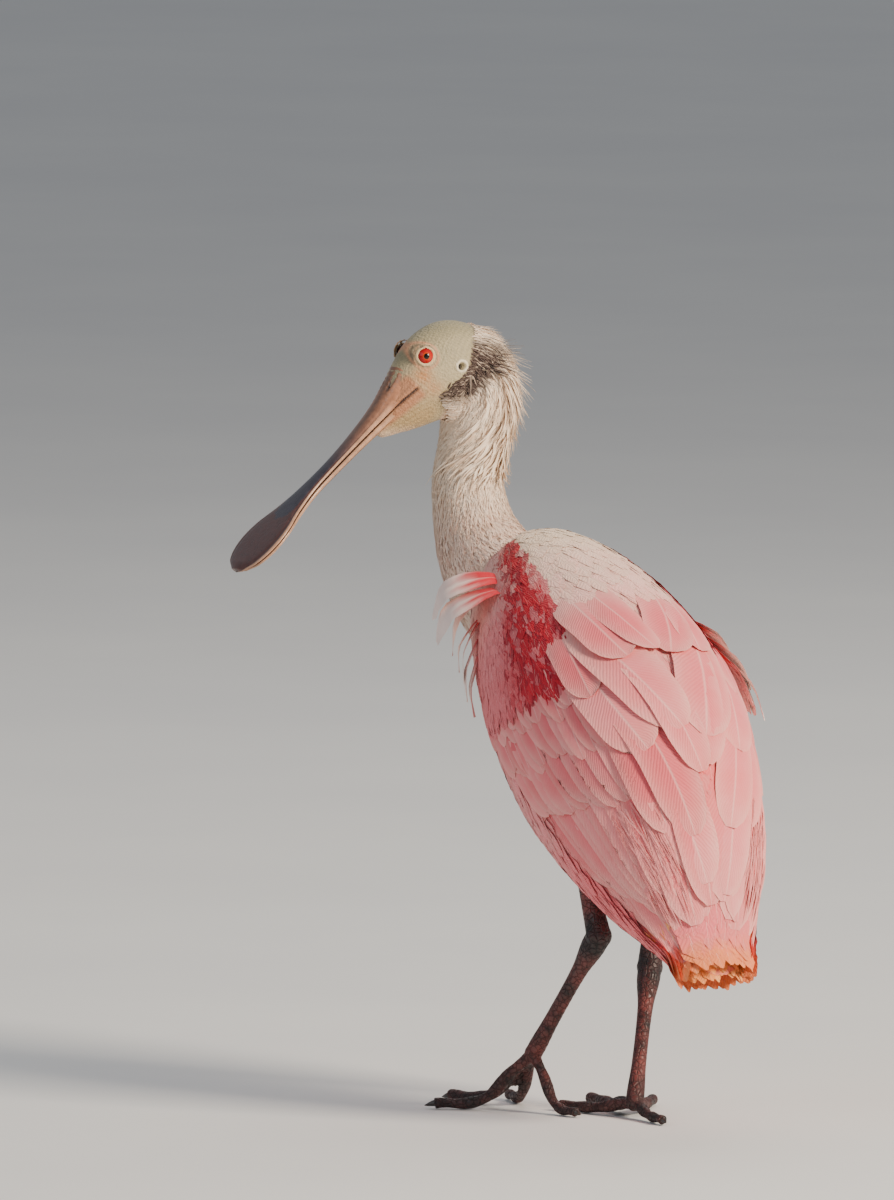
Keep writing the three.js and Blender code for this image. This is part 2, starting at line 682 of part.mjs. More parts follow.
// The origin is on the floor, below the middle of the whole bird
const box = new THREE.Box3().setFromObject(bird);
const middle = box.getCenter(vec(0, 0, 0));
for (const piece of bird.children) piece.geometry.translate(-middle.x, -middle.y, -box.min.z);

export default bird;
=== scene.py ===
import math

import bpy
import numpy as np
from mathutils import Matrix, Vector


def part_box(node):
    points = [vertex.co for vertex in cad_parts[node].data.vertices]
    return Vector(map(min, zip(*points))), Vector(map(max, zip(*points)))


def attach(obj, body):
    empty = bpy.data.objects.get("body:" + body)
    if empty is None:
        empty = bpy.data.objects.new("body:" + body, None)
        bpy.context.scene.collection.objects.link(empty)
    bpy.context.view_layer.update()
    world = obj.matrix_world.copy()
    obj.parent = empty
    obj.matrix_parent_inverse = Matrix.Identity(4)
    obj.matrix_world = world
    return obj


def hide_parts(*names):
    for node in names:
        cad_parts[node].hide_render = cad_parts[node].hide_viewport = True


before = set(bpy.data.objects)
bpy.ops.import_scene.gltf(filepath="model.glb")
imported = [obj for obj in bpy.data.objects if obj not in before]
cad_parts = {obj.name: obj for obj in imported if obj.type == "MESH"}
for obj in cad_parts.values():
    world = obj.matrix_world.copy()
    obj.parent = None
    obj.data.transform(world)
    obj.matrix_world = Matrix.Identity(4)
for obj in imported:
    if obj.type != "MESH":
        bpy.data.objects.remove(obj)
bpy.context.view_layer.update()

# The camera stands behind the bird's left side, twelve metres away and a little above its back.
# The studio has a pale floor, a large warm light low on the right, and a soft fill from the left.
# Places are in millimetres in the bird's own frame: +X ahead, +Y left, +Z up, the floor at 0.
EYE = np.array([90.2, 68, 447.5])
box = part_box("eye_left")
SHIFT = np.array([(box[0][k] + box[1][k]) / 2 for k in range(3)]) * 1000 - EYE


def metres(points):
    return (np.asarray(points, float) + SHIFT) / 1000


def unit(v):
    return v / np.maximum(np.linalg.norm(v, axis=-1, keepdims=True), 1e-9)


CAMERA = metres([-10467.6, 5666.3, 1556.3])
TARGET = metres([69.7, 63.5, 301.9])
VIEW = unit(TARGET - CAMERA)
RIGHT = unit(np.cross(VIEW, [0, 0, 1]))


def aimed(name, data, place):
    """A camera or a lamp at a place, turned towards the bird."""
    thing = bpy.data.objects.new(name, data)
    bpy.context.scene.collection.objects.link(thing)
    thing.location = place
    thing.rotation_euler = Vector(TARGET - place).to_track_quat("-Z", "Y").to_euler()
    return thing


camera_data = bpy.data.cameras.new("camera")
camera_data.sensor_width = 36
camera_data.lens = 600
camera_data.clip_end = 200
bpy.context.scene.camera = aimed("camera", camera_data, CAMERA)

bpy.ops.mesh.primitive_plane_add(size=60, location=(0, 0, -0.0005))
floor = bpy.context.object
floor.name = "studio_floor"

for name, right, back, high, size, power, colour in (
    ("key", 2.6, 1.7, 1.3, 0.9, 190, (1, 0.87, 0.70)),
    ("fill", -2.6, 2.2, 1.6, 2.6, 26, (0.88, 0.93, 1)),
    ("top", 0.4, -1.6, 2.6, 2.2, 30, (1, 0.96, 0.90)),
):
    light = bpy.data.lights.new(name, "AREA")
    light.size = size
    light.energy = power
    light.color = colour
    aimed(name, light, TARGET + RIGHT * right - VIEW * back + np.array([0, 0, high]))
world = bpy.data.worlds.new("studio")
bpy.context.scene.world = world
world.use_nodes = True
world.node_tree.nodes["Background"].inputs["Color"].default_value = (0.80, 0.84, 0.90, 1)
world.node_tree.nodes["Background"].inputs["Strength"].default_value = 0.34


class Nodes:
    """A tree of shader nodes, built by short calls: each returns the output socket of what it adds."""

    def add(self, kind, output=0, settings=None, **inputs):
        node = self.tree.nodes.new(kind)
        for key, value in (settings or {}).items():
            setattr(node, key, value)
        for key, value in inputs.items():
            socket = node.inputs[int(key[1:]) if key[0] == "i" and key[1:].isdigit() else key.replace("_", " ")]
            if isinstance(value, bpy.types.NodeSocket):
                self.tree.links.new(value, socket)
            else:
                socket.default_value = value
        return node.outputs[output]

    def place(self):
        return self.add("ShaderNodeTexCoord", "Object")

    def noise(self, scale, detail=3.0, at=None):
        return self.add("ShaderNodeTexNoise", "Fac", Vector=at or self.place(), Scale=scale, Detail=detail,
                        Roughness=0.55)

    def cells(self, scale, feature="F1"):
        return self.add("ShaderNodeTexVoronoi", "Distance", {"feature": feature}, Vector=self.place(), Scale=scale)

    def math(self, operation, a, b=0.0, c=0.0):
        return self.add("ShaderNodeMath", 0, {"operation": operation}, i0=a, i1=b, i2=c)

    def ramp(self, value, *stops):
        node = self.tree.nodes.new("ShaderNodeValToRGB")
        self.tree.links.new(value, node.inputs[0])
        points = node.color_ramp.elements
        while len(points) < len(stops):
            points.new(0.5)
        for point, (place, colour) in zip(points, stops):
            point.position = place
            point.color = (*(colour if np.ndim(colour) else (colour,) * 3), 1)
        return node.outputs[0]

    def mix(self, share, a, b, blend="MIX"):
        node = self.tree.nodes.new("ShaderNodeMix")
        node.data_type = "RGBA"
        node.blend_type = blend
        for index, value in ((0, share), (6, a), (7, b)):
            if isinstance(value, bpy.types.NodeSocket):
                self.tree.links.new(value, node.inputs[index])
            else:
                node.inputs[index].default_value = value if index == 0 else (*value, 1)
        return node.outputs[2]

    def attribute(self, name):
        return self.add("ShaderNodeAttribute", "Color", {"attribute_name": name})


class Shader(Nodes):
    """One material, with the values that are the same all over it set on its Principled BSDF."""

    def __init__(self, name, **fixed):
        self.material = bpy.data.materials.new(name)
        self.material.use_nodes = True
        self.tree = self.material.node_tree
        self.principled = self.tree.nodes["Principled BSDF"]
        for socket, value in fixed.items():
            self.principled.inputs[socket.replace("_", " ")].default_value = value

    def use(self, **inputs):
        for key, value in inputs.items():
            self.tree.links.new(value, self.principled.inputs[key.replace("_", " ")])

    def bump(self, height, strength, distance):
        self.use(Normal=self.add("ShaderNodeBump", "Normal", Height=height, Strength=strength, Distance=distance))


floor_shader = Shader("studio_paper", Roughness=0.9)
paper = floor_shader.ramp(floor_shader.noise(3.0), (0.3, (0.76, 0.76, 0.76)), (0.7, (0.80, 0.80, 0.79)))
floor_shader.use(Base_Color=paper)
floor.data.materials.append(floor_shader.material)

# The skin is one hide from the breast to the bill's root, over flesh and bone. The head is bare: pale,
# finely wrinkled, stained ochre before the eye, with ringed lids, a rimmed ear and a slack throat
# pouch. It is fused from a trunk, a neck and a skull, and the lids and the ear's rim grow out of it.

# The trunk is an egg round a leaning axis, from the breast at 0 to the tail at 1. Rows: place, axis x,
# axis z, half-width with the wings, half-width of the flesh, height to the back, to the belly
EGG = np.array([
    [-0.07, 105, 327, 5, 5, 5, 6],
    [0.0, 92, 320, 20, 18, 18, 24],
    [0.1, 72, 310, 41, 30, 37, 48],
    [0.25, 32, 283, 59, 44, 57, 66],
    [0.4, -6, 251, 69, 50, 71, 74],
    [0.55, -44, 215, 71, 52, 78, 74],
    [0.7, -80, 179, 64, 46, 71, 62],
    [0.85, -113, 144, 50, 34, 49, 44],
    [0.94, -132, 122, 38, 25, 29, 27],
    [1.0, -145, 107, 28, 14, 14, 15],
])
BEYOND_TAIL = 300  # millimetres of axis for a whole unit of place past the egg's end
# Neck and head are tubes along a path. Rows: place, half-width, height to the back, to the front
NECK_PATH = np.array([[40, 6, 286], [76, 17, 304], [101, 25, 333], [110, 28, 369], [108, 24.5, 396],
                      [103, 26, 422], [102, 40, 440]], float)
NECK = np.array([[0, 34, 40, 40], [0.22, 29, 33, 36], [0.4, 21.5, 24, 25], [0.55, 18.5, 19.5, 20],
                 [0.72, 18, 20, 20], [0.88, 18.5, 22, 20], [1, 16, 18, 16]])
HEAD_PATH = np.array([[102, 22, 439], [102, 38, 443], [102, 54, 440], [102, 68, 431], [102, 82, 417],
                      [102, 95, 402]], float)
HEAD = np.array([[0, 9, 12, 12], [0.12, 15, 20, 20], [0.3, 19, 25, 27], [0.5, 18, 22, 32],
                 [0.68, 14.5, 15.5, 27], [0.84, 10, 9, 18], [1, 3.5, 3, 6]])
HEAD_X = 102  # the head's middle plane
EYE_OUT = 11.8  # from that plane to each eye's centre
EAR_OUT = 19.2
SKIN_DEPTH = 7.0  # of the trunk's skin under the plumage
LEFT = np.array([0.0, 1.0, 0.0])
BILL_ROOT = np.array([102, 70.6, 431.2])
BILL_AHEAD = np.array([0, math.cos(math.radians(41)), -math.sin(math.radians(41))])
BILL_UP = np.cross(BILL_AHEAD, [-1.0, 0, 0])


def along(rows, column, x):
    """The value at x of a smooth curve through a table's rows."""
    places, values = rows[:, 0], rows[:, column]
    last = len(places) - 1
    k = np.arange(last + 1)
    before, after = np.maximum(k - 1, 0), np.minimum(k + 1, last)
    slope = (values[after] - values[before]) / (places[after] - places[before])
    i = np.clip(np.searchsorted(places, x, side="right") - 1, 0, last - 1)
    span = places[i + 1] - places[i]
    t = np.clip((x - places[i]) / span, 0, 1)
    return (values[i] * (1 + 2 * t) * (1 - t) ** 2 + slope[i] * span * t * (1 - t) ** 2
            + values[i + 1] * t * t * (3 - 2 * t) + slope[i + 1] * span * t * t * (t - 1))


def smoothstep(x, low, high):
    t = np.clip((x - low) / (high - low), 0, 1)
    return t * t * (3 - 2 * t)


def curve(path, u):
    """A centripetal Catmull-Rom curve through the points of path, at u from 0 to 1."""
    full = np.vstack([2 * path[0] - path[1], path, 2 * path[-1] - path[-2]])
    u = np.clip(np.asarray(u, float), 0, 1) * (len(path) - 1)
    i = np.minimum(u.astype(int), len(path) - 2)
    w = (u - i)[..., None]
    p0, p1, p2, p3 = (full[i + k] for k in range(4))
    d0, d1, d2 = (np.sqrt(np.linalg.norm(b - a, axis=-1, keepdims=True))
                  for a, b in ((p0, p1), (p1, p2), (p2, p3)))
    t1 = ((p1 - p0) / d0 - (p2 - p0) / (d0 + d1) + (p2 - p1) / d1) * d1
    t2 = ((p2 - p1) / d1 - (p3 - p1) / (d1 + d2) + (p3 - p2) / d2) * d1
    return p1 + t1 * w + (-3 * p1 + 3 * p2 - 2 * t1 - t2) * w ** 2 + (2 * p1 - 2 * p2 + t1 + t2) * w ** 3


def axis(s):
    """The egg's axis at s, and the way up from it."""
    def at(q):
        return np.stack([along(EGG, 1, q), 0 * q, along(EGG, 2, q)], -1)
    near = np.clip(s, 0.01, 0.99)
    ahead = unit(at(near - 0.01) - at(near + 0.01))
    return at(np.minimum(s, 1)) - ahead * np.maximum(s - 1, 0)[..., None] * BEYOND_TAIL, np.cross(ahead, LEFT)


def round_point(centre, left, up, sizes, turn):
    """A point turn degrees from the back towards the left, on a round of half-width, back and belly."""
    wide, back, belly = sizes
    sin, cos = np.sin(np.radians(turn)), np.cos(np.radians(turn))
    return centre + left * (wide * sin)[..., None] + up * (np.where(cos > 0, back, belly) * cos)[..., None]


def plume(s, f, lift=0.0):
    """A point on the plumage, f degrees from the middle of the back towards the bird's left."""
    s, f = np.broadcast_arrays(np.asarray(s, float), np.asarray(f, float))
    centre, up = axis(s)
    return round_point(centre, LEFT, up, [along(EGG, k, np.minimum(s, 1)) + lift for k in (3, 5, 6)], f)


def steady(direction):
    """The left side of a tube that doesn't twist."""
    return lambda u: np.broadcast_to(direction, np.shape(u) + (3,))


def neck_side(u):
    turn = np.radians(90) * smoothstep(np.asarray(u, float), 0.35, 0.9)
    return np.stack([-np.sin(turn), np.cos(turn), 0 * turn], -1)


head_side = steady(np.array([-1.0, 0, 0]))


def tube_point(path, rows, side, u, turn, lift=0.0):
    """A point of a lofted tube, turn degrees from its back towards its left."""
    u, turn = np.broadcast_arrays(np.asarray(u, float), np.asarray(turn, float))
    ahead = unit(curve(path, u + 0.005) - curve(path, u - 0.005))
    left = side(u)
    left = unit(left - ahead * np.sum(left * ahead, -1, keepdims=True))
    sizes = [along(rows, k, u) + lift for k in (1, 2, 3)]
    return round_point(curve(path, u), left, np.cross(ahead, left), sizes, turn)


def neck(u, turn):
    return tube_point(NECK_PATH, NECK, neck_side, u, turn)


def skull(u, turn):
    return tube_point(HEAD_PATH, HEAD, head_side, u, turn)


def trunk(u, turn):
    return plume(u, turn, -SKIN_DEPTH)


def srgb(red, green, blue):
    c = np.array([red, green, blue]) / 255
    return np.where(c <= 0.04045, c / 12.92, ((c + 0.055) / 1.055) ** 2.4)


def layered(tint, *layers):
    """A colour under layers of others, each given as the colour and the share of it that shows."""
    for colour, share in layers:
        tint = tint + (colour - tint) * np.asarray(share)[..., None]
    return tint


def colour_by(piece, name, values):
    """Stores one linear colour a vertex on a piece's mesh."""
    layer = piece.data.color_attributes.new(name, "FLOAT_COLOR", "POINT")
    flat = np.ones((len(piece.data.vertices), 4), np.float32)
    flat[:, :3] = values
    layer.data.foreach_set("color", flat.ravel())


def vertices_of(piece):
    flat = np.empty(len(piece.data.vertices) * 3)
    piece.data.vertices.foreach_get("co", flat)
    return flat.reshape(-1, 3)


def points_of(piece):
    return vertices_of(piece) * 1000 - SHIFT


def move_points(piece, points):
    piece.data.vertices.foreach_set("co", metres(points).ravel())
    piece.data.update()


def rounded(name, rings, first, last):
    """A closed form: a ball whose rings of points are moved on to the given rings."""
    count, sides = rings.shape[:2]
    bpy.ops.object.select_all(action="DESELECT")
    bpy.ops.mesh.primitive_uv_sphere_add(segments=sides, ring_count=count + 1, radius=1, location=(0, 0, 0))
    piece = bpy.context.object
    piece.name = name
    ball = vertices_of(piece)
    row = np.rint(np.degrees(np.arccos(np.clip(ball[:, 2], -1, 1))) / (180 / (count + 1))).astype(int)
    column = np.rint(np.degrees(np.arctan2(ball[:, 1], ball[:, 0])) / (360 / sides)).astype(int) % sides
    placed = np.where((row == 0)[:, None], first, np.where((row == count + 1)[:, None], last, 0.0))
    inside = (row > 0) & (row <= count)
    placed[inside] = rings[row[inside] - 1, column[inside]]
    move_points(piece, placed)
    bpy.ops.object.mode_set(mode="EDIT")
    bpy.ops.mesh.select_all(action="SELECT")
    bpy.ops.mesh.normals_make_consistent(inside=False)
    bpy.ops.object.mode_set(mode="OBJECT")
    return piece


def loft(name, point, low, high, count, sides, cap=1.0):
    """A closed form round a surface: point(u, turn) between two places on it."""
    u, turn = np.meshgrid(np.linspace(low, high, count), np.arange(sides) * 360 / sides, indexing="ij")
    rings = point(u, turn)
    ends = [rings[end].mean(0) + (rings[end].mean(0) - rings[inner].mean(0)) * cap
            for end, inner in ((0, 1), (-1, -2))]
    return rounded(name, rings, *ends)


def joined(name, pieces, voxel=None, smooth=0):
    """Several forms as one piece, fused into one even skin when a voxel size is given."""
    bpy.ops.object.select_all(action="DESELECT")
    for piece in pieces:
        piece.select_set(True)
    bpy.context.view_layer.objects.active = pieces[0]
    bpy.ops.object.join()
    piece = bpy.context.object
    piece.name = name
    piece.data.name = name
    if voxel:
        fuse = piece.modifiers.new("fuse", "REMESH")
        fuse.mode = "VOXEL"
        fuse.voxel_size = voxel / 1000
        bpy.ops.object.modifier_apply(modifier="fuse")
    if smooth:
        ease = piece.modifiers.new("ease", "SMOOTH")
        ease.factor = 0.5
        ease.iterations = smooth
        bpy.ops.object.modifier_apply(modifier="ease")
    bpy.ops.object.shade_smooth()
    return piece


def finished(piece, material, slot, *nodes):
    piece.data.materials.clear()
    piece.data.materials.append(material)
    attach(piece, "root")
    if nodes:
        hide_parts(*nodes)


def ring_of(centre, normal, radius, thick, stretch=1.0):
    """A small ring of flesh, such as a lid or the rim of the ear."""
    bpy.ops.object.select_all(action="DESELECT")
    bpy.ops.mesh.primitive_torus_add(major_radius=radius / 1000, minor_radius=thick / 1000, major_segments=40,
                                     minor_segments=14, location=(0, 0, 0))
    piece = bpy.context.object
    bpy.ops.object.mode_set(mode="EDIT")
    bpy.ops.mesh.select_all(action="SELECT")
    bpy.ops.transform.resize(value=(1, stretch, 1))
    bpy.ops.object.mode_set(mode="OBJECT")
    piece.rotation_euler = Vector(normal).to_track_quat("Z", "Y").to_euler()
    piece.location = metres(centre)
    bpy.ops.object.transform_apply(location=True, rotation=True, scale=True)
    return piece


def eye_seat(side):
    """The centre of the eye on one side, 1 for the left, and the way that it looks."""
    return np.array([HEAD_X - side * EYE_OUT, EYE[1], EYE[2]]), np.array([-side * 0.97, 0.24, 0.05])


def face_place(p):
    """How far a point lies along the bill from the corner of the mouth, and how far above the mouth."""
    return (p - BILL_ROOT) @ BILL_AHEAD, (p - BILL_ROOT) @ BILL_UP


def bare_edge(z):
    """Where the bare face ends at a height: a line behind the ear and forward under the cheek."""
    return np.interp(z, (410, 418, 424, 428, 434, 441, 452, 462, 470), (64, 62, 58, 53, 46, 41, 38, 33, 30))


trunk_form = loft("trunk", trunk, -0.01, 0.97, 60, 72)
neck_form = loft("neck", neck, 0.05, 1.0, 70, 56)
skull_form = loft("skull", skull, 0.0, 1.0, 60, 56)
rims = []
for side in (1, -1):
    middle, gaze = eye_seat(side)
    rims.append(ring_of(middle + gaze * 3.5, gaze, 5.15, 0.75))
    rims.append(ring_of(middle + gaze * 2.5, gaze, 7.5, 0.6))
    rims.append(ring_of([HEAD_X - side * EAR_OUT, 46, 441], [-side, -0.15, 0.1], 3.5, 0.8, 0.78))
fine = joined("head_and_neck", [skull_form, neck_form, *rims], voxel=0.85, smooth=3)

# Folds and pits are pushed in or out sideways: the ear's hole, crow's feet, the gape with the lip over
# it, the pouch's folds and the wrinkles of the cheek.
face = points_of(fine)
across, y, z = face[:, 0] - HEAD_X, face[:, 1], face[:, 2]
beyond, over = face_place(face)
ear_hole = 3.4 * np.exp(-(np.hypot(y - 46.6, z - 440.7) / 2.0) ** 2)
from_eye = np.hypot(y - EYE[1], z - EYE[2])
crows_feet = 0.16 * np.sin(from_eye * 2.6) * smoothstep(from_eye, 8, 9.5) * (1 - smoothstep(from_eye, 12, 15))
gape = 1.5 * np.exp(-(over / 0.8) ** 2) * smoothstep(beyond, 2, 5) * smoothstep(np.abs(across), 4, 7)
lip = 0.7 * np.exp(-((over - 2.6) / 1.6) ** 2) * smoothstep(beyond, 1, 6)
pouch = 0.35 * np.sin(y * 0.9 + z * 1.7) * smoothstep(y, 60, 72) * (1 - smoothstep(z, 418, 428))
cheek = 0.16 * np.sin((y * 0.66 - z * 0.75) * 2.6) * smoothstep(y, 62, 74) * smoothstep(z, 424, 432)
face[:, 0] += np.sign(across) * (crows_feet + lip + pouch + cheek - ear_hole - gape)
move_points(fine, face)
skin = joined("skin", [fine, trunk_form])

ROSE = srgb(238, 138, 142)


def skin_tint(p):
    """The hide's markings, by place: bare head, dark nape band, pink body; the cream-tan skin under the feathers,
    darkened as painted shade for the down between them; painted shade over the front of the forehead and in the ear's
    hole.
    """
    y, z = p[:, 1], p[:, 2]
    beyond, over = face_place(p)
    from_eye = np.hypot(y - 68.8, z - 447.7)
    from_ear = np.hypot(y - 46.0, (z - 441.0) * 1.1)
    behind = bare_edge(z) - y
    speck = np.sin(p[:, 0] * 1.9 + z * 1.3) * np.sin(y * 1.7 - z * 0.9) * 0.5 + 0.5
    bill_base = smoothstep(beyond, 1, 5) * smoothstep(over, -9, -5) * (1 - smoothstep(over, 8, 12))
    stain = (np.exp(-(((y - 71) / 6) ** 2 + ((z - 436) / 5) ** 2))
             + 0.6 * np.exp(-(((y - 64) / 7) ** 2 + ((z - 428) / 5) ** 2)))
    mouth = ((1 - smoothstep(np.abs(over), 0.5, 1.3)) * smoothstep(beyond, 3, 5)
             * smoothstep(np.abs(p[:, 0] - HEAD_X), 3, 7))
    band = smoothstep(behind, -1.5, 2.5) * (1 - smoothstep(behind, 12, 17)) * smoothstep(z, 416, 424)
    neck_side = (1 - smoothstep(z, 396, 408)) + (1 - smoothstep(z, 414, 420)) * smoothstep(56 - y, 0, 4)
    return layered(
        srgb(176, 162, 128),
        (srgb(112, 108, 80), 0.45 * speck * smoothstep(z, 436, 450) + 0.4 * smoothstep(z, 455, 466)),
        # painted shade: the front of the forehead, towards the bill, is darkened olive
        (srgb(84, 84, 60), 0.6 * smoothstep(y, 68, 82) * smoothstep(z, 438, 450)),
        (srgb(158, 126, 78), 0.7 * (1 - smoothstep(z, 412, 432)) * smoothstep(y, 50, 66)),
        (srgb(172, 112, 80), 0.85 * bill_base),
        (srgb(190, 112, 48), np.clip(0.8 * stain * (0.6 + 0.4 * speck), 0, 0.85)),
        (srgb(216, 186, 144), 0.85 * smoothstep(from_eye, 3.6, 4.4) * (1 - smoothstep(from_eye, 5.6, 6.2))),
        (srgb(206, 138, 100), 0.7 * np.exp(-((from_eye - 7.7) / 0.7) ** 2)),
        (srgb(96, 60, 44), 0.55 * np.exp(-((from_eye - 6.4) / 0.45) ** 2)),
        (srgb(48, 28, 22), mouth),
        (srgb(232, 220, 190), smoothstep(from_ear, 2.4, 3.2) * (1 - smoothstep(from_ear, 4.0, 4.6))),
        # painted shade: the ear's hole is painted near black for its depth
        (srgb(34, 24, 20), 1 - smoothstep(np.hypot(y - 47.0, z - 440.4), 1.3, 2.1)),
        (srgb(64, 42, 34), band * (0.6 + 0.4 * speck) * (from_ear > 4.8)),
        # the skin under the neck and head feathers: its own pale colour, darkened to tan as painted shade for the down
        # seen between the feathers
        (srgb(216, 186, 158), np.clip(np.maximum(smoothstep(behind - 12, 0, 5), neck_side), 0, 1)),
        (ROSE, (1 - smoothstep(z, 300, 340)) * (p[:, 0] < 120)),
    )


colour_by(skin, "tint", skin_tint(points_of(skin)))
hide = Shader("bare_hide", Roughness=0.6, Sheen_Weight=0.1)
mottle = hide.noise(420, 5)
flecks = hide.cells(700)
tone = hide.mix(0.55, hide.attribute("tint"), hide.ramp(mottle, (0.3, 0.42), (0.7, 0.62)), "OVERLAY")
dots = hide.ramp(flecks, (0.10, 0.25), (0.24, 1.0))
clusters = hide.ramp(hide.noise(60, 3), (0.48, 0.0), (0.60, 0.9))
hide.use(Base_Color=hide.mix(clusters, tone, hide.mix(1.0, tone, dots, "MULTIPLY")),
         Roughness=hide.ramp(mottle, (0.3, 0.5), (0.8, 0.75)))
hide.bump(hide.math("ADD", hide.math("MULTIPLY", mottle, 0.7), flecks), 0.5, 0.0008)
finished(skin, hide.material, "bare_skin", "torso", "neck_lower", "neck_upper", "head")

# The eyes are glass-clear balls: a black pupil, an orange inner ring and a wide scarlet iris.
# Each is seated behind its pale lids, looks out to its own side and carries a wet coat.
EYE_RADIUS = 5.8
CORNEA_RISE = 0.5
eye_shader = Shader("eye_red", Roughness=0.25, Coat_Weight=0.35, Coat_Roughness=0.03, Specular_IOR_Level=0.2)
iris = eye_shader.ramp(
    eye_shader.attribute("gaze"), (0.0, (0.002, 0.002, 0.002)), (0.185, (0.003, 0.002, 0.002)),
    (0.215, (0.55, 0.09, 0.006)), (0.27, (0.52, 0.016, 0.004)), (0.40, (0.46, 0.003, 0.004)),
    (0.60, (0.22, 0.001, 0.002)), (0.68, (0.02, 0.002, 0.002)))
streaks = eye_shader.ramp(eye_shader.noise(1800, 2), (0.35, 0.25), (0.65, 0.8))
eye_shader.use(Base_Color=eye_shader.mix(0.25, iris, streaks, "OVERLAY"))
for name, side in (("eye_left", 1), ("eye_right", -1)):
    bpy.ops.object.select_all(action="DESELECT")
    bpy.ops.mesh.primitive_uv_sphere_add(segments=64, ring_count=48, radius=EYE_RADIUS / 1000,
                                         location=(0, 0, 0))
    eye = bpy.context.object
    eye.name = name + "_ball"
    middle, gaze = eye_seat(side)
    gaze = unit(gaze)
    ball = vertices_of(eye) * 1000
    turn = np.degrees(np.arccos(np.clip(unit(ball) @ gaze, -1, 1)))
    ball += gaze * CORNEA_RISE * (np.exp(-(turn / 34) ** 2))[:, None]
    move_points(eye, ball + middle)
    colour_by(eye, "gaze", (turn / 90)[:, None])
    bpy.ops.object.shade_smooth()
    finished(eye, eye_shader.material, "eye", name)

# The bill is horn over bone, in two mandibles: high and ridged at the face, narrow in the middle
# and spread into a flat spoon with a small nail. A groove runs round it inside the pale edge.
# Rows: place from the mouth's corner to the tip, half-width, height, bend of the mouth's line
BILL_LENGTH = 160.0
UPPER = np.array([[-0.1, 5, 5, 0], [-0.05, 9, 13, 0], [0, 12, 15, 0], [0.06, 11.2, 12, 0],
                  [0.18, 9.3, 6.6, -0.6], [0.32, 7.2, 4.2, -1.2], [0.45, 6.2, 3.3, -1.6], [0.58, 8, 2.9, -1.6],
                  [0.69, 13.2, 2.9, -1.9], [0.79, 20.6, 3, -2.2], [0.88, 22, 2.9, -2.9],
                  [0.96, 16.5, 2.5, -4], [1, 7, 1.5, -5.2]])
LOWER = np.array([[-0.1, 5, 4, 0], [0, 10.4, 7, 0], [0.18, 8.6, 6, -0.6], [0.32, 6.7, 4.8, -1.2],
                  [0.45, 5.8, 4.2, -1.6], [0.58, 7.4, 3.8, -1.6], [0.69, 12.4, 3.5, -1.9],
                  [0.79, 19.4, 3.3, -2.2], [0.88, 20.8, 3.1, -2.9], [0.95, 16, 2.7, -3.8],
                  [0.985, 7, 1.6, -4.8]])
MOUTH_HALF_GAP = 0.6


def mandible(name, rows, sign, power, horn, slate):
    """One half of the bill, sign 1 for the upper. Its section is rounder where power is small."""
    upper = sign > 0
    q, turn = np.meshgrid(np.linspace(rows[0, 0], rows[-1, 0], 190), np.linspace(0, 2 * np.pi, 64, endpoint=False),
                          indexing="ij")
    wide, high = along(rows, 1, q), along(rows, 2, q)
    across, rise = np.cos(turn), np.abs(np.sin(turn))
    edge = np.abs(across)
    spoon = smoothstep(q, 0.6, 0.8)
    groove = np.exp(-((edge - 0.86) / 0.035) ** 2) * smoothstep(q, 0.03, 0.2) * np.minimum(high * 0.22, 0.7)
    dish = 0.25 * high * (1 - edge ** 2) * spoon * (1 - smoothstep(q, 0.9, 1))
    wrinkle = np.sin(q * 330 + edge * 3) * (1 - smoothstep(q, 0.06, 0.24)) * smoothstep(q, -0.04, 0.01)
    pores = np.sin(q * 210 + across * 9) * np.sin(across * 26 + q * 60) * spoon
    nail = 0.8 * smoothstep(q, 0.955, 0.985) * (1 - edge ** 2) * upper
    lift = rise ** power * high - groove - dish + 0.22 * wrinkle * np.sqrt(rise) + 0.06 * pores * rise + nail
    lift = np.where(np.sin(turn) > 0, lift, 0)
    mouth = (BILL_ROOT + BILL_AHEAD * (q * BILL_LENGTH)[..., None]
             + BILL_UP * (along(rows, 3, q) + sign * MOUTH_HALF_GAP)[..., None])
    rings = mouth + np.array([-1.0, 0, 0]) * (across * wide)[..., None] + BILL_UP * (sign * lift)[..., None]
    piece = rounded(name, rings, rings[0].mean(0) - BILL_AHEAD * 1.2,
                    rings[-1].mean(0) + BILL_AHEAD * 1.4 - BILL_UP * 0.9 * upper)
    p = points_of(piece)
    forward, over = face_place(p)
    forward /= BILL_LENGTH
    beside = np.abs(p[:, 0] - HEAD_X) / np.maximum(along(rows, 1, forward), 1)
    nostril = np.exp(-((forward - 0.075) / 0.035) ** 2 - ((beside - 0.42) / 0.09) ** 2) * upper
    move_points(piece, p - BILL_UP * (nostril * 1.6)[:, None])
    colour_by(piece, "tint", layered(
        horn,
        (slate, 0.93 * smoothstep(forward, 0.12, 0.5)),
        (srgb(84, 66, 56), 0.6 * (1 - smoothstep(beside, 0.1, 0.55)) * (1 - smoothstep(forward, 0.2, 0.5))),
        (srgb(198, 152, 122), 0.8 * smoothstep(beside, 0.9, 0.97) * smoothstep(forward, 0.1, 0.2)),
        (srgb(52, 40, 38), 0.7 * smoothstep(forward, 0.955, 0.985) * (1 - smoothstep(beside, 0.3, 0.7))),
        # painted shade: the nostril is painted dark for the depth of its slit
        (srgb(38, 26, 22), np.clip(nostril * 1.3, 0, 1)),
        (srgb(88, 52, 46), 0.9 * ((over * sign < 0.9) & (beside < 0.9))),
    ))
    bpy.ops.object.shade_smooth()
    return piece


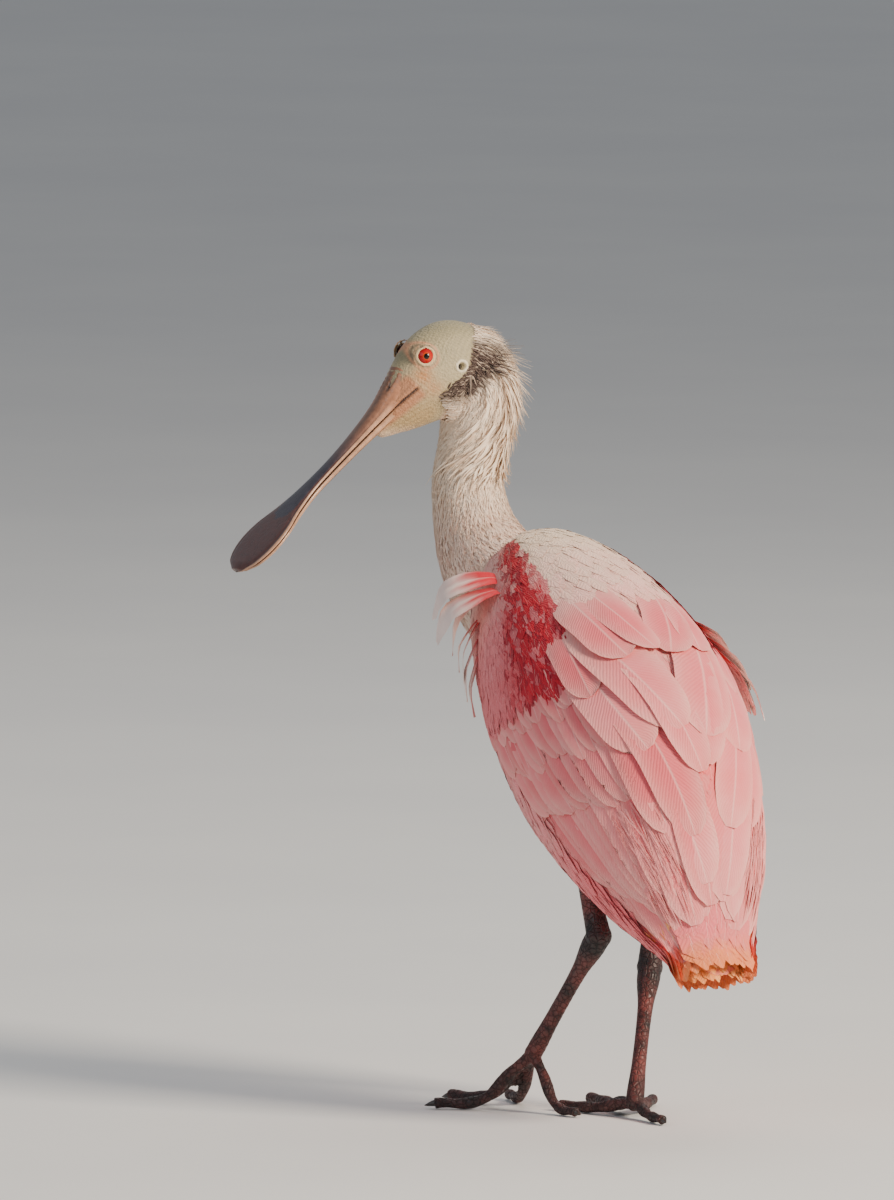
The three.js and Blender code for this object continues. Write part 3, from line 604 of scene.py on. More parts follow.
horn_shader = Shader("bill_horn", Roughness=0.34, Coat_Weight=0.35, Coat_Roughness=0.2)
grain = horn_shader.noise(260, 6)
fine_grain = horn_shader.noise(1500, 3)
horn_tone = horn_shader.mix(0.6, horn_shader.attribute("tint"),
                            horn_shader.ramp(grain, (0.3, 0.34), (0.72, 0.68)), "OVERLAY")
worn = horn_shader.ramp(horn_shader.cells(330, "SMOOTH_F1"), (0.1, 0.3), (0.6, 0.6))
horn_shader.use(Base_Color=horn_shader.mix(0.25, horn_tone, worn, "OVERLAY"),
                Roughness=horn_shader.ramp(grain, (0.3, 0.24), (0.75, 0.46)))
horn_shader.bump(horn_shader.math("ADD", horn_shader.math("MULTIPLY", fine_grain, 0.4), grain), 0.35, 0.0005)
finished(mandible("bill_upper_horn", UPPER, 1, 0.7, srgb(172, 118, 88), srgb(34, 46, 64)),
         horn_shader.material, "bill_horn", "bill_upper")
finished(mandible("bill_lower_horn", LOWER, -1, 0.45, srgb(158, 112, 76), srgb(96, 70, 56)),
         horn_shader.material, "bill_horn", "bill_lower")

# The legs are thin bone in scaly skin, wine-dark above and nearly black at the hocks and toes.
# Each foot has three long toes ahead, joined by short webs, and one behind, all with worn claws.
# A foot's toes are given as turn from the way it points, share of the longest, and half-thickness.
LEGS = {
    "left": dict(hip=(-10, 25, 226), thigh=(-18, 30, 205), hock=(-60, 30, 111), ankle=(-2, 43, 35), yaw=18, sign=1),
    "right": dict(hip=(1, -27, 214), thigh=(0, -44, 178), hock=(-8, -33, 83), ankle=(-57, 4, 9), yaw=-6, sign=-1),
}
SHANK = np.array([[0, 15, 16, 16], [0.5, 13, 14, 14], [0.65, 8, 8.5, 8.5], [0.81, 5.6, 6, 6],
                  [0.93, 6.4, 7.4, 7], [1, 7.2, 8.6, 8]])
SHIN = np.array([[0, 7, 8, 8], [0.1, 6.8, 8, 7.6], [0.3, 4.6, 5.2, 5], [0.7, 4.3, 4.8, 4.6],
                 [0.92, 5.4, 5, 5.2], [1, 5.6, 4.6, 5]])
CLAW = np.array([[0.78, 1.7, 1.8, 1.4], [0.86, 2.0, 2.2, 1.7], [0.93, 1.5, 1.6, 1.2], [1.0, 0.35, 0.4, 0.3]])
TOES = {"middle": (0, 1, 4.2), "outer": (33, 0.87, 3.9), "inner": (-31, 0.8, 3.8), "hind": (176, 0.55, 3.4)}
TOE_LENGTH = 76.0
TOE_SHARE = 0.86  # of a toe's path, up to the claw
SCUTE_RISE, SCUTE_PITCH = 0.22, 5.2
WEB_LOW = 3.36
WEB_HALF = 0.75
left_side = steady(LEFT)


def knob(centre, radius):
    bpy.ops.object.select_all(action="DESELECT")
    bpy.ops.mesh.primitive_uv_sphere_add(segments=24, ring_count=16, radius=radius / 1000, location=metres(centre))
    piece = bpy.context.object
    bpy.ops.object.transform_apply(location=True, rotation=True, scale=True)
    return piece


def limb(name, stops, rows):
    """A length of leg through its stops, with overlapping scutes down its front."""
    path = np.array(stops, float)
    length = np.linalg.norm(np.diff(path, axis=0), axis=1).sum()

    def point(u, turn):
        front = smoothstep(np.cos(np.radians(turn - 180)), 0.2, 0.8)
        scutes = SCUTE_RISE * front * np.abs(np.sin(u * length * np.pi / SCUTE_PITCH)) ** 0.6
        return tube_point(path, rows, left_side, u, turn, scutes)
    return loft(name, point, 0.0, 1.0, 110, 28)


def toe_path(ankle, reach, half):
    """A toe comes down from the ankle and lies along the floor."""
    low, high = half * 0.86, ankle[2]
    stops = ((-0.02, high), (0.2, max(low + (high - low) * 0.62, low)), (0.42, low + (high - low) * 0.14),
             (0.62, low), (0.86, low), (1.0, 1.6))
    return np.array([np.array([ankle[0], ankle[1], z]) + reach * share for share, z in stops])


def web(ankle, one, other):
    """The short web between two toes, whose lengths are given as vectors from the ankle."""
    turn = np.arange(20)[:, None] * 2 * np.pi / 20
    rings = []
    for t in np.linspace(0.0, 1.0, 16):
        z = WEB_LOW + (ankle[2] - WEB_LOW) * (0.9 - 0.58 * t)
        a, b = (np.array([ankle[0], ankle[1], z]) + toe * (0.06 + 0.26 * t) for toe in (one, other))
        sag = 0.05 * np.linalg.norm(a - b)
        rings.append((a + b) / 2 + (a - b) / 2 * np.cos(turn) * 1.02
                     + np.array([0, 0, 1]) * (WEB_HALF * np.sin(turn) - sag * np.sin(turn) ** 2))
    rings = np.array(rings)
    return rounded("web", rings, rings[0].mean(0), rings[-1].mean(0))


def stood(piece):
    """Flattens what lies below the floor, and returns the piece's points."""
    p = points_of(piece)
    p[:, 2] = np.maximum(p[:, 2], 0.0)
    move_points(piece, p)
    return p


scales = Shader("leg_scales", Roughness=0.5)
plates = scales.cells(300, "DISTANCE_TO_EDGE")
blotch = scales.ramp(scales.noise(90, 4), (0.35, 0.0), (0.7, 1.0))
leg_tone = scales.mix(blotch, srgb(40, 26, 26), srgb(124, 62, 58))
leg_tone = scales.mix(scales.attribute("tint"), leg_tone, srgb(26, 20, 22))
seams = scales.ramp(plates, (0.0, 0.30), (0.10, 1.0))
scales.use(Base_Color=scales.mix(0.8, leg_tone, seams, "MULTIPLY"),
           Roughness=scales.ramp(plates, (0.0, 0.75), (0.2, 0.42)))
scales.bump(scales.ramp(plates, (0.0, 0.0), (0.16, 1.0)), 0.75, 0.0006)
claw_shader = Shader("claw_horn", Roughness=0.3, Coat_Weight=0.3)
claw_shader.use(Base_Color=claw_shader.ramp(claw_shader.noise(500, 3), (0.3, srgb(18, 15, 15)),
                                            (0.8, srgb(70, 58, 52))))
claw_shader.bump(claw_shader.noise(900, 2), 0.2, 0.0003)

for side_name, leg in LEGS.items():
    ankle = np.array(leg["ankle"], float)
    forms = [limb("shank", (leg["hip"], leg["thigh"], leg["hock"]), SHANK),
             limb("shin", (leg["hock"], leg["ankle"]), SHIN),
             knob(leg["hock"], 7.9), knob([ankle[0], ankle[1], max(ankle[2], 6)], 5.4)]
    claws = []
    reaches = {}
    for toe, (turn, share, half) in TOES.items():
        heading = math.radians(leg["yaw"] + leg["sign"] * turn)
        ahead = np.array([math.cos(heading), math.sin(heading), 0])
        reaches[toe] = ahead * share * TOE_LENGTH
        path = toe_path(ankle, reaches[toe], half)
        toe_side = steady(np.array([-ahead[1], ahead[0], 0]))
        u = np.linspace(0, TOE_SHARE, 12)
        knuckle = half * (1 + 0.13 * np.cos(2 * np.pi * u * 3.5)) * (1 - 0.25 * u)
        rows = np.stack([u, knuckle, knuckle, knuckle * 0.97], 1)

        def toe_point(u, turn):
            ridge = 0.14 * np.abs(np.sin(u * 60)) * smoothstep(np.cos(np.radians(turn)), 0.1, 0.7)
            return tube_point(path, rows, toe_side, u, turn, ridge)

        def claw_point(u, turn):
            return tube_point(path, CLAW, toe_side, u, turn)
        forms.append(loft("toe", toe_point, 0.0, TOE_SHARE, 80, 24, 0.6))
        claws.append(loft("claw", claw_point, 0.78, 1.0, 16, 20))
    for other in ("outer", "inner"):
        forms.append(web(ankle, reaches["middle"], reaches[other]))
    leg_piece = joined("leg_" + side_name, forms, voxel=0.62, smooth=2)
    p = stood(leg_piece)
    near_hock = np.exp(-(np.linalg.norm(p - leg["hock"], axis=1) / 16) ** 2)
    dark = np.clip(near_hock + 0.55 * (1 - smoothstep(p[:, 2], 8, 40)), 0, 1)
    colour_by(leg_piece, "tint", dark[:, None])
    finished(leg_piece, scales.material, "leg_skin", "shank_" + side_name, "shin_" + side_name,
             "foot_" + side_name)
    claw_piece = joined("claws_" + side_name, claws)
    stood(claw_piece)
    finished(claw_piece, claw_shader.material, "leg_skin")

# The small contour feathers clothe the back, breast, belly and rump, silky and nearly white between
# the shoulders and pinker towards the tail. Each is a thin closed vane with a rib and slanting barbs,
# rooted in the skin, and lies over the one behind it like a shingle.
rng = np.random.default_rng(7)
PATCH = 0.003  # the side of one feather's patch in the map OFBake
FRONT, REAR = -0.065, 0.97  # where the contour feathers begin and end on the egg
GOLDEN_TURN = 137.508
CREAM, PALE = srgb(243, 218, 192), srgb(240, 188, 178)
SALMON, CORAL, ORANGE = srgb(234, 98, 108), srgb(238, 74, 66), srgb(246, 140, 62)


def cut(stations, columns, base, tip, point=0.5, taper=None):
    """The outline of a kind of feather: stations along it, columns to one side of its rib, widths."""
    t = np.asarray(stations, float)
    rise = np.minimum(1, base + (1 - base) * t / 0.35)
    if taper is None:
        fall = np.where(t < tip, 1, np.maximum(1 - ((t - tip) / (1.005 - tip)) ** 2, 0) ** point)
    else:
        fall = 1 - taper * t ** 1.3
    return t, np.array([-c for c in reversed(columns)] + [0, *columns]), np.maximum(rise * fall, 0.03)


SMALL = cut(np.linspace(0, 1, 5), (1,), 0.5, 0.45)
BROAD = cut([*np.linspace(0, 0.7, 7), *np.linspace(0.78, 1, 7)], (0.06, 0.36, 0.72, 1), 0.45, 0.62)
LONG = cut([*np.linspace(0, 0.75, 8), *np.linspace(0.81, 1, 6)], (0.05, 0.34, 0.7, 1), 0.4, 0.76, 0.48)
HAIR = cut((0, 0.45, 1), (1,), 0.7, 0.4, taper=0.95)
LOCK = cut(np.linspace(0, 1, 6), (1,), 0.6, 0.4, taper=0.95)


def pair(a, b):
    return np.stack(np.broadcast_arrays(a, b), -1)


def vanes(surface, outline, root, tip, half, lift, thick, tilt, bow, ragged, wave, curl):
    """The points of n feathers, as [n, stations, points round each section, 3]."""
    t, c, w = outline
    n = len(root)
    half, tilt, bow, curl = (np.broadcast_to(np.asarray(v, float), (n,))[:, None] for v in (half, tilt, bow, curl))
    lift = np.broadcast_to(np.asarray(lift, float), (n, 2))
    way = root[:, None] + (tip - root)[:, None] * t[None, :, None]
    way[..., 1] += bow * 4 * t * (1 - t)
    rise = lift[:, :1] + (lift[:, 1:] - lift[:, :1]) * np.minimum(1, t * 1.6) ** 0.8
    rise = rise + curl * np.maximum(t - 0.4, 0) ** 2 * 2.8
    spine = surface(way[..., 0], way[..., 1])
    near = surface(way[..., 0], way[..., 1] + 1.0) - surface(way[..., 0], way[..., 1] - 1.0)
    down = surface(way[..., 0] + 0.004, way[..., 1]) - surface(way[..., 0] - 0.004, way[..., 1])
    normal = unit(np.cross(near, down))
    inward = np.sum(normal * (spine - surface(way[..., 0], way[..., 1] + 180)), -1, keepdims=True) < 0
    normal *= np.where(inward, -1, 1)
    spine = spine + normal * rise[..., None]
    ahead = unit(np.gradient(spine, axis=1))
    across = unit(np.cross(normal, ahead))
    normal = unit(np.cross(ahead, across))
    frayed = (np.abs(c) > 0.9) * smoothstep(t, 0.3, 0.6)[None, :, None]
    jag = 1 + ragged * rng.normal(0, 1, (n, len(t), len(c))) * frayed
    wide = half[..., None] * w[None, :, None] * c[None, None, :] * jag
    flat = tilt[..., None] * wide - wide ** 2 / 150
    if wave:
        phase = rng.uniform(0, 6.28, (n, 1, 1))
        flat = flat + wave * np.sin(t[None, :, None] * 5 + c * 2.2 + phase) * np.abs(c)
    body = spine[:, :, None] + across[:, :, None] * wide[..., None]
    depth = thick / 2 * (1 - 0.75 * np.abs(c)) * (1 - 0.7 * t[:, None])
    rib = 0.5 * thick * (np.abs(c) < 0.03) * (1 - 0.8 * t[:, None]) * (len(c) > 3)
    top = body + normal[:, :, None] * (flat + depth + rib)[..., None]
    under = body + normal[:, :, None] * (flat - depth)[..., None]
    return np.concatenate([top, under[:, :, -2:0:-1]], axis=2)


def feathers(name, surface, outline, root, tip, half, lift, tint, material, patch, thick=0.32, tilt=0.0,
             bow=0.0, ragged=0.0, wave=0.0, slot="plumage", nodes=(), curl=0.0):
    """Joined vanes on surface(place, turn) from root to tip, both [n, 2] arrays of places on it."""
    t, c, _ = outline
    ring = vanes(surface, outline, root, tip, half, lift, thick, tilt, bow, ragged, wave, curl)
    n, count, sides = ring.shape[:3]
    quads = np.array([[r * sides + k, r * sides + (k + 1) % sides, (r + 1) * sides + (k + 1) % sides,
                       (r + 1) * sides + k] for r in range(count - 1) for k in range(sides)])
    caps = np.array([list(range(sides))[::-1], [(count - 1) * sides + k for k in range(sides)]])
    start = np.arange(n)[:, None, None] * (sides * count)
    loops = np.concatenate([(quads[None] + start).reshape(n, -1), (caps[None] + start).reshape(n, -1)], 1).ravel()
    totals = np.tile(np.concatenate([np.full(len(quads), 4), np.full(2, sides)]), n)
    mesh = bpy.data.meshes.new(name)
    mesh.vertices.add(n * count * sides)
    mesh.vertices.foreach_set("co", metres(ring.reshape(-1, 3)).ravel())
    mesh.loops.add(len(loops))
    mesh.loops.foreach_set("vertex_index", loops)
    mesh.polygons.add(len(totals))
    mesh.polygons.foreach_set("loop_start", np.concatenate([[0], np.cumsum(totals)[:-1]]))
    mesh.polygons.foreach_set("loop_total", totals)
    mesh.update(calc_edges=True)
    mesh.polygons.foreach_set("use_smooth", np.ones(len(totals), bool))

    # Rims and ends stay sharp, so that the light doesn't roll round a vane's thin edge.
    ends = np.empty(2 * len(mesh.edges), np.int32)
    mesh.edges.foreach_get("vertices", ends)
    column, row = (ends % sides).reshape(-1, 2), (ends // sides % count).reshape(-1, 2)
    rim = (column[:, 0] == column[:, 1]) & np.isin(column[:, 0], (0, len(c) - 1))
    rim |= (row[:, 0] == row[:, 1]) & np.isin(row[:, 0], (0, count - 1))
    mesh.attributes.new("sharp_edge", "BOOLEAN", "EDGE").data.foreach_set("value", rim)
    piece = bpy.data.objects.new(name, mesh)
    bpy.context.scene.collection.objects.link(piece)

    # The map Vane runs across and along each feather. OFBake holds the same, small, at its root's place.
    shape = (n, count, sides)
    over, down = np.broadcast_arrays(np.concatenate([c, c[-2:0:-1]])[None, :], t[:, None])
    corner = np.tile(np.stack([0.5 + 0.5 * over, down], -1).reshape(-1, 2), (n, 1))[loops]
    baked = patch(root)[loops // (sides * count)] + (corner - [0.5, 0]) * PATCH
    mesh.uv_layers.new(name="OFBake").data.foreach_set("uv", baked.astype(np.float32).ravel())
    mesh.uv_layers.new(name="Vane").data.foreach_set("uv", corner.astype(np.float32).ravel())
    share = rng.uniform(0, 1, n)
    shades = tint(np.broadcast_to(root[:, None, None], shape + (2,)), np.broadcast_to(down, shape),
                  np.broadcast_to(over, shape), np.broadcast_to(share[:, None, None], shape))
    colour_by(piece, "tint", shades.reshape(-1, 3))
    finished(piece, material, slot, *nodes)


class Effect(Nodes):
    """An effect that several materials share: a node group with named inputs and outputs."""

    def __init__(self, name, inputs, outputs):
        self.tree = bpy.data.node_groups.new(name, "ShaderNodeTree")
        for way, sockets in (("INPUT", inputs), ("OUTPUT", outputs)):
            for label, kind in sockets.items():
                self.tree.interface.new_socket(name=label, in_out=way, socket_type="NodeSocket" + kind)
        self.given = self.tree.nodes.new("NodeGroupInput").outputs
        self.result = self.tree.nodes.new("NodeGroupOutput").inputs


barbed = Effect(
    "barbs_and_rib",
    {"Tint": "Color", "Vane": "Vector", "Place": "Vector", "Barbs": "Float", "Slant": "Float", "Rib": "Float"},
    {"Colour": "Color", "Relief": "Float"})
over_vane = barbed.add("ShaderNodeSeparateXYZ", "X", i0=barbed.given["Vane"])
off_rib = barbed.math("ABSOLUTE", barbed.math("SUBTRACT", over_vane, 0.5))
slope = barbed.math("SUBTRACT", over_vane.node.outputs["Y"], barbed.math("MULTIPLY", off_rib, barbed.given["Slant"]))
wander = barbed.math("MULTIPLY", barbed.noise(160, 3, barbed.given["Place"]), 5.0)
lines = barbed.math("SINE", barbed.math("ADD", barbed.math("MULTIPLY", slope, barbed.given["Barbs"]), wander))
line_tone = barbed.ramp(barbed.math("MULTIPLY_ADD", lines, 0.5, 0.5), (0.0, 0.38), (1.0, 0.58))
soft_tone = barbed.ramp(barbed.noise(95, 4, barbed.given["Place"]), (0.3, 0.40), (0.7, 0.60))
rib_share = barbed.math("MAXIMUM", barbed.math("SUBTRACT", 1.0, barbed.math("DIVIDE", off_rib, barbed.given["Rib"])))
vane_tone = barbed.mix(0.35, barbed.mix(0.30, barbed.given["Tint"], line_tone, "OVERLAY"), soft_tone, "OVERLAY")
rib_tone = barbed.mix(0.6, vane_tone, srgb(255, 232, 220))
barbed.tree.links.new(barbed.mix(barbed.math("MULTIPLY", rib_share, 0.55), vane_tone, rib_tone), barbed.result["Colour"])
barbed.tree.links.new(barbed.math("ADD", lines, barbed.math("MULTIPLY", rib_share, 2.0)), barbed.result["Relief"])


def feather_material(name, barbs, slant, rib, roughness, relief):
    shader = Shader(name, Roughness=roughness, Sheen_Weight=0.06, Sheen_Roughness=0.5)
    tone = shader.add("ShaderNodeGroup", "Colour", {"node_tree": barbed.tree}, Tint=shader.attribute("tint"),
                      Vane=shader.add("ShaderNodeUVMap", 0, {"uv_map": "Vane"}), Place=shader.place(),
                      Barbs=barbs, Slant=slant, Rib=rib)
    shader.use(Base_Color=tone)
    shader.bump(tone.node.outputs["Relief"], relief, 0.00025)
    return shader.material


contour = feather_material("contour_feather", 60, 0.5, 0.03, 0.72, 0.35)
quill = feather_material("wing_feather", 260, 0.35, 0.035, 0.72, 0.3)
down = feather_material("hair_feather", 20, 0.4, 0.12, 0.8, 0.35)


def unwrapped(left, low, high):
    """Finds a feather's patch on the skin's unwrap, from its root's place and turn."""
    def patch(root):
        return pair(left + 0.46 * (root[:, 1] % 360) / 360, low + high * np.clip(root[:, 0], -0.07, 1.05))
    return patch


body_patch = unwrapped(0.02, 0.08, 0.82)


def body_tint(root, t, c, share):
    s, f = root[..., 0] + 0.07 * t, np.abs((root[..., 1] + 180) % 360 - 180)
    return layered(
        CREAM,
        (PALE, smoothstep(s, 0.08, 0.3) * (0.6 + 0.4 * share)),
        (ROSE, smoothstep(s, 0.28, 0.46) * (0.55 + 0.4 * share)),
        (ROSE, 0.6 * smoothstep(f, 60, 100) * smoothstep(s, 0.15, 0.4)),
        (SALMON, 0.7 * smoothstep(s, 0.62, 0.8)),
        (CORAL, 0.55 * smoothstep(s, 0.5, 0.6) * (1 - smoothstep(s, 0.72, 0.8)) * (f < 30) * share),
        (ORANGE, 0.8 * smoothstep(s, 0.97, 1.03)),
    ) * (0.93 + 0.12 * share[..., None])


count = 10400
s = np.sort(FRONT + (REAR - FRONT) * (np.arange(count) + rng.uniform(0, 1, count)) / count)
f = (np.arange(count) * GOLDEN_TURN + rng.uniform(-4, 4, count)) % 360 - 180
kept = rng.uniform(0, 1, count) < along(EGG, 3, np.minimum(s, 1)) / 71 + 0.12
s, f = s[kept], f[kept]
side = np.abs(f)
under_wing = smoothstep(side, 38, 48) * (1 - smoothstep(side, 98, 110)) * smoothstep(s, 0.08, 0.16)
under_scapulars = smoothstep(s, 0.30, 0.42) * (1 - smoothstep(side, 36, 46))
outer = 0.3 - 5.2 * under_wing - 2.4 * under_scapulars + rng.uniform(-0.5, 0.5, len(s))
reach = 0.070 + 0.022 * rng.uniform(0, 1, len(s))
root = pair(s, f)
tip = pair(s + reach, f * 0.98 + rng.normal(0, 1.5, len(s)))
lifts = pair(outer - 2.4, outer)
size = 6.6 * rng.uniform(0.75, 1.15, len(s))
for index, part in enumerate(np.array_split(rng.permutation(len(s)), 2)):
    feathers("contour_%d" % index, plume, SMALL, root[part], tip[part], size[part], lifts[part], body_tint,
             contour, body_patch, thick=0.2, ragged=0.14, wave=0.15)


# Soft pink feathers run down on to the top of each shank, like short trousers. They are rooted in
# the skin of the thigh and hide where the leg enters the plumage.
def shank_tint(root, t, c, share):
    return layered(ROSE, (SALMON, share))


for side_name, leg in LEGS.items():
    shank_path = np.array([leg["hip"], leg["thigh"], leg["hock"]], float)

    def shank(u, turn):
        return tube_point(shank_path, SHANK, left_side, u, turn)
    count = 620
    root = pair(0.22 + 0.38 * rng.uniform(0, 1, count), rng.uniform(-180, 180, count))
    tip = root + pair(rng.uniform(0.06, 0.09, count), rng.normal(0, 6, count))
    feathers("trousers_" + side_name, shank, SMALL, root, tip, rng.uniform(2.0, 3.4, count),
             pair(-0.6, rng.uniform(0.4, 1.8, count)), shank_tint, contour, body_patch, thick=0.22, ragged=0.14)


# The neck's plumage is short, cream and hair-like, rooted in the skin of the neck. It grows longer up
# the nape, and is brown-black in the band behind the ear.
def downy(at, share):
    """The colour of the hair-like feathers, by place, with some hairs darker tan as painted shade for the shadow
    streaks between them.
    """
    y, z = at[..., 1], at[..., 2]
    band = (1 - smoothstep(bare_edge(z) - y, 11, 19)) * smoothstep(z, 414, 424) * (1 - smoothstep(z, 452, 461))
    return layered(
        CREAM,
        (srgb(252, 236, 216), share),
        # painted shade: some hairs are darker tan, standing for the shadow streaks among the hairs
        (srgb(206, 172, 140), 0.75 * smoothstep(share, 0.84, 0.9)),
        (PALE, 0.45 * (1 - smoothstep(z, 330, 385)) * (0.5 + 0.5 * share)),
        (srgb(58, 36, 28), band * smoothstep(share, -0.2, 0.35)),
    )


def downy_on(surface):
    return lambda root, t, c, share: downy(surface(root[..., 0], root[..., 1]), share)


neck_patch = unwrapped(0.52, 0.02, 0.9)
count = 17000
u = 0.10 + 0.89 * rng.uniform(0, 1, count) ** 0.95
turn = rng.uniform(-180, 180, count)
nape = np.exp(-(turn / 55) ** 2) * smoothstep(u, 0.5, 0.9)
length = (0.040 + 0.02 * rng.uniform(0, 1, count)) * (1 + 0.7 * nape)
root = pair(u, turn)
tip = pair(u - length, turn + rng.normal(0, 6, count))
lifts = pair(-0.7, 0.5 + rng.uniform(0, 1.3, count) + nape * rng.uniform(0, 2.4, count))
width = rng.uniform(0.5, 0.95, count) * (1 + 1.0 * (1 - smoothstep(u, 0.2, 0.42)))
for index, part in enumerate(np.array_split(np.arange(count), 2)):
    feathers("neck_feathers_%d" % index, neck, HAIR, root[part], tip[part], width[part], lifts[part],
             downy_on(neck), down, neck_patch, thick=0.28, slot="neck_plumage")

# The same short feathers clothe the back of the skull up to the edge of the bare face, thinning
# out behind the ear. Those of the jowl lie thicker, over the fold where the throat meets the neck.
skull_patch = unwrapped(0.52, 0.95, 0.03)
count = 8000
root = pair(rng.uniform(0.0, 0.6, count), rng.uniform(-180, 180, count))
at = skull(root[:, 0], root[:, 1])
kept = (bare_edge(at[:, 2]) - at[:, 1] > rng.uniform(-3.0, 1.6, count)) & (at[:, 2] > 404)
root, height = root[kept], at[kept, 2]
sink = np.sign(root[:, 1]) * 10 * (1 - np.abs(root[:, 1]) / 180)
tip = root + pair(-rng.uniform(0.05, 0.09, len(root)), sink + rng.normal(0, 4, len(root)))
crown = smoothstep(height, 446, 458)
jowl = 1 - smoothstep(height, 416, 426)
lifts = pair(-0.6 + 1.6 * jowl, rng.uniform(0.4, 1.3, len(root)) + 1.2 * crown + 2.2 * jowl)
feathers("ear_feathers", skull, HAIR, root, tip, rng.uniform(0.45, 0.9, len(root)), lifts, downy_on(skull), down,
         skull_patch, thick=0.28, slot="neck_plumage")

# A low crest runs from the crown down the back of the head. Its feathers are a little longer and
# curl away from the skin, and fill the hollow between skull and nape.
CREST_PATH = np.array([[104, 23, 404], [103, 23, 421], [102, 27, 436], [102, 38, 443], [102, 52, 441]], float)
CREST = np.array([[0, 18, 20, 5], [0.3, 18, 21, 5], [0.5, 16.5, 21.5, 5], [0.75, 17.5, 22, 5], [1, 18.5, 23, 5]])


def crest(u, turn):
    return tube_point(CREST_PATH, CREST, head_side, u, turn)


count = 3600
root = pair(rng.uniform(0.12, 0.95, count), rng.uniform(-95, 95, count))
at = crest(root[:, 0], root[:, 1])
root = root[bare_edge(at[:, 2]) - at[:, 1] > rng.uniform(-1.5, 2.5, count)]
tip = root + pair(-rng.uniform(0.10, 0.17, len(root)), rng.normal(0, 5, len(root)))
fluff = 1 - np.abs(root[:, 1]) / 110
lifts = pair(-2.0, 0.4 + fluff * rng.uniform(0.5, 2.6, len(root)))
feathers("crest_feathers", crest, HAIR, root, tip, rng.uniform(0.5, 0.95, len(root)), lifts, downy_on(crest), down,
         skull_patch, thick=0.28, slot="neck_plumage", curl=fluff * rng.uniform(0, 4, len(root)))

# The nape's locks are the longest of the hair-like feathers. The wind lifts them off the back of
# the neck into a shaggy, curling fringe.
count = 640
u = 1.0 - 0.44 * rng.uniform(0, 1, count) ** 1.3
turn = rng.normal(0, 40, count)
tuft = smoothstep(u, 0.72, 0.97)
root = pair(u, turn)
tip = pair(u - (0.075 + 0.045 * rng.uniform(0, 1, count)), turn * 1.1 + rng.normal(0, 8, count))
lifts = pair(-1.0, 1.4 + 3.6 * rng.uniform(0, 1, count) ** 1.5)
curl = (3 + 9 * tuft) * rng.uniform(0.3, 1.1, count)
feathers("nape_locks", neck, LOCK, root, tip, rng.uniform(0.9, 1.7, count), lifts, downy_on(neck), down, neck_patch,
         thick=0.4, slot="neck_plumage", curl=curl)

# The wings are folded over the flanks. From the lowest layer up: primaries and secondaries, greater,
# median and lesser coverts, and the long broad scapulars that run from the shoulder to the rump.
CARMINE, SCARLET = srgb(150, 0, 36), srgb(212, 4, 40)
# Scapulars and tertials, from the lowest up: root place and turn, tip place and turn, half-width, lift
SCAPULARS = np.array([
    [0.56, 38, 0.92, 42, 14, -1.0], [0.56, 28, 0.97, 26, 15, -0.7], [0.52, 16, 0.95, 7, 16, -0.4],
    [0.50, 34, 0.91, 10, 15, 0.2], [0.46, 40, 0.82, 30, 14, 0.5], [0.44, 36, 0.84, 14, 15, 0.9],
    [0.40, 40, 0.68, 27, 15, 1.4], [0.36, 24, 0.74, 2, 14, 1.6], [0.33, 34, 0.66, 6, 16, 2.0],
    [0.30, 43, 0.55, 42, 12, 2.0], [0.28, 31, 0.50, 19, 15, 2.6], [0.26, 20, 0.50, 4, 13, 2.2],
])


def wing_tint(root, t, c, share):
    s, f = root[..., 0], np.abs(root[..., 1])
    pale = 0.55 * smoothstep(np.abs(c), 0.5, 1) + 0.4 * smoothstep(t, 0.75, 1)
    spot = np.exp(-((s + 0.3 * t - 0.68) / 0.05) ** 2 - (f / 30) ** 2) * (0.3 + 0.7 * share)
    shoulder = (1 - smoothstep(s, 0.30, 0.46)) * (1 - smoothstep(f, 40, 50)) * (1 - smoothstep(t, 0.1, 0.65))
    return layered(
        SALMON,
        (ROSE, 0.05 + 0.85 * share),
        (srgb(244, 176, 168), np.clip(pale, 0, 0.8)),
        (CORAL, 0.7 * spot),
        (CORAL, 0.35 * (1 - smoothstep(t, 0.1, 0.5)) * share),
        (PALE, 0.85 * shoulder),
    ) * (0.92 + 0.12 * share[..., None])


def carmine(s, f):
    """How red the small coverts of the wing's bend are: a band that widens as it runs down and back."""
    middle = 44 + 10 * smoothstep(s, 0.1, 0.35) - 6 * smoothstep(s, 0.42, 0.58)
    spread = 9 + 15 * smoothstep(s, 0.2, 0.48)
    return (np.exp(-(np.abs(f) - middle) ** 2 / spread ** 2 * 1.1) * smoothstep(s, 0.06, 0.12)
            * (1 - smoothstep(s, 0.46, 0.58)))


def lesser_tint(root, t, c, share):
    s, f = root[..., 0], np.abs(root[..., 1])
    red = np.clip(carmine(s + 0.06 * t, f) * 1.7 + 0.5 * (share - 0.5), 0, 1)
    streak = smoothstep(share, 0.80, 0.9) * smoothstep(t, 0.35, 0.8)
    return layered(
        PALE,
        (ROSE, smoothstep(s, 0.10, 0.26)),
        (SALMON, 0.5 * smoothstep(s, 0.2, 0.42)),
        (layered(SCARLET, (CARMINE, share)), red * (1 - 0.6 * streak)),
    ) * (0.94 + 0.1 * share[..., None])


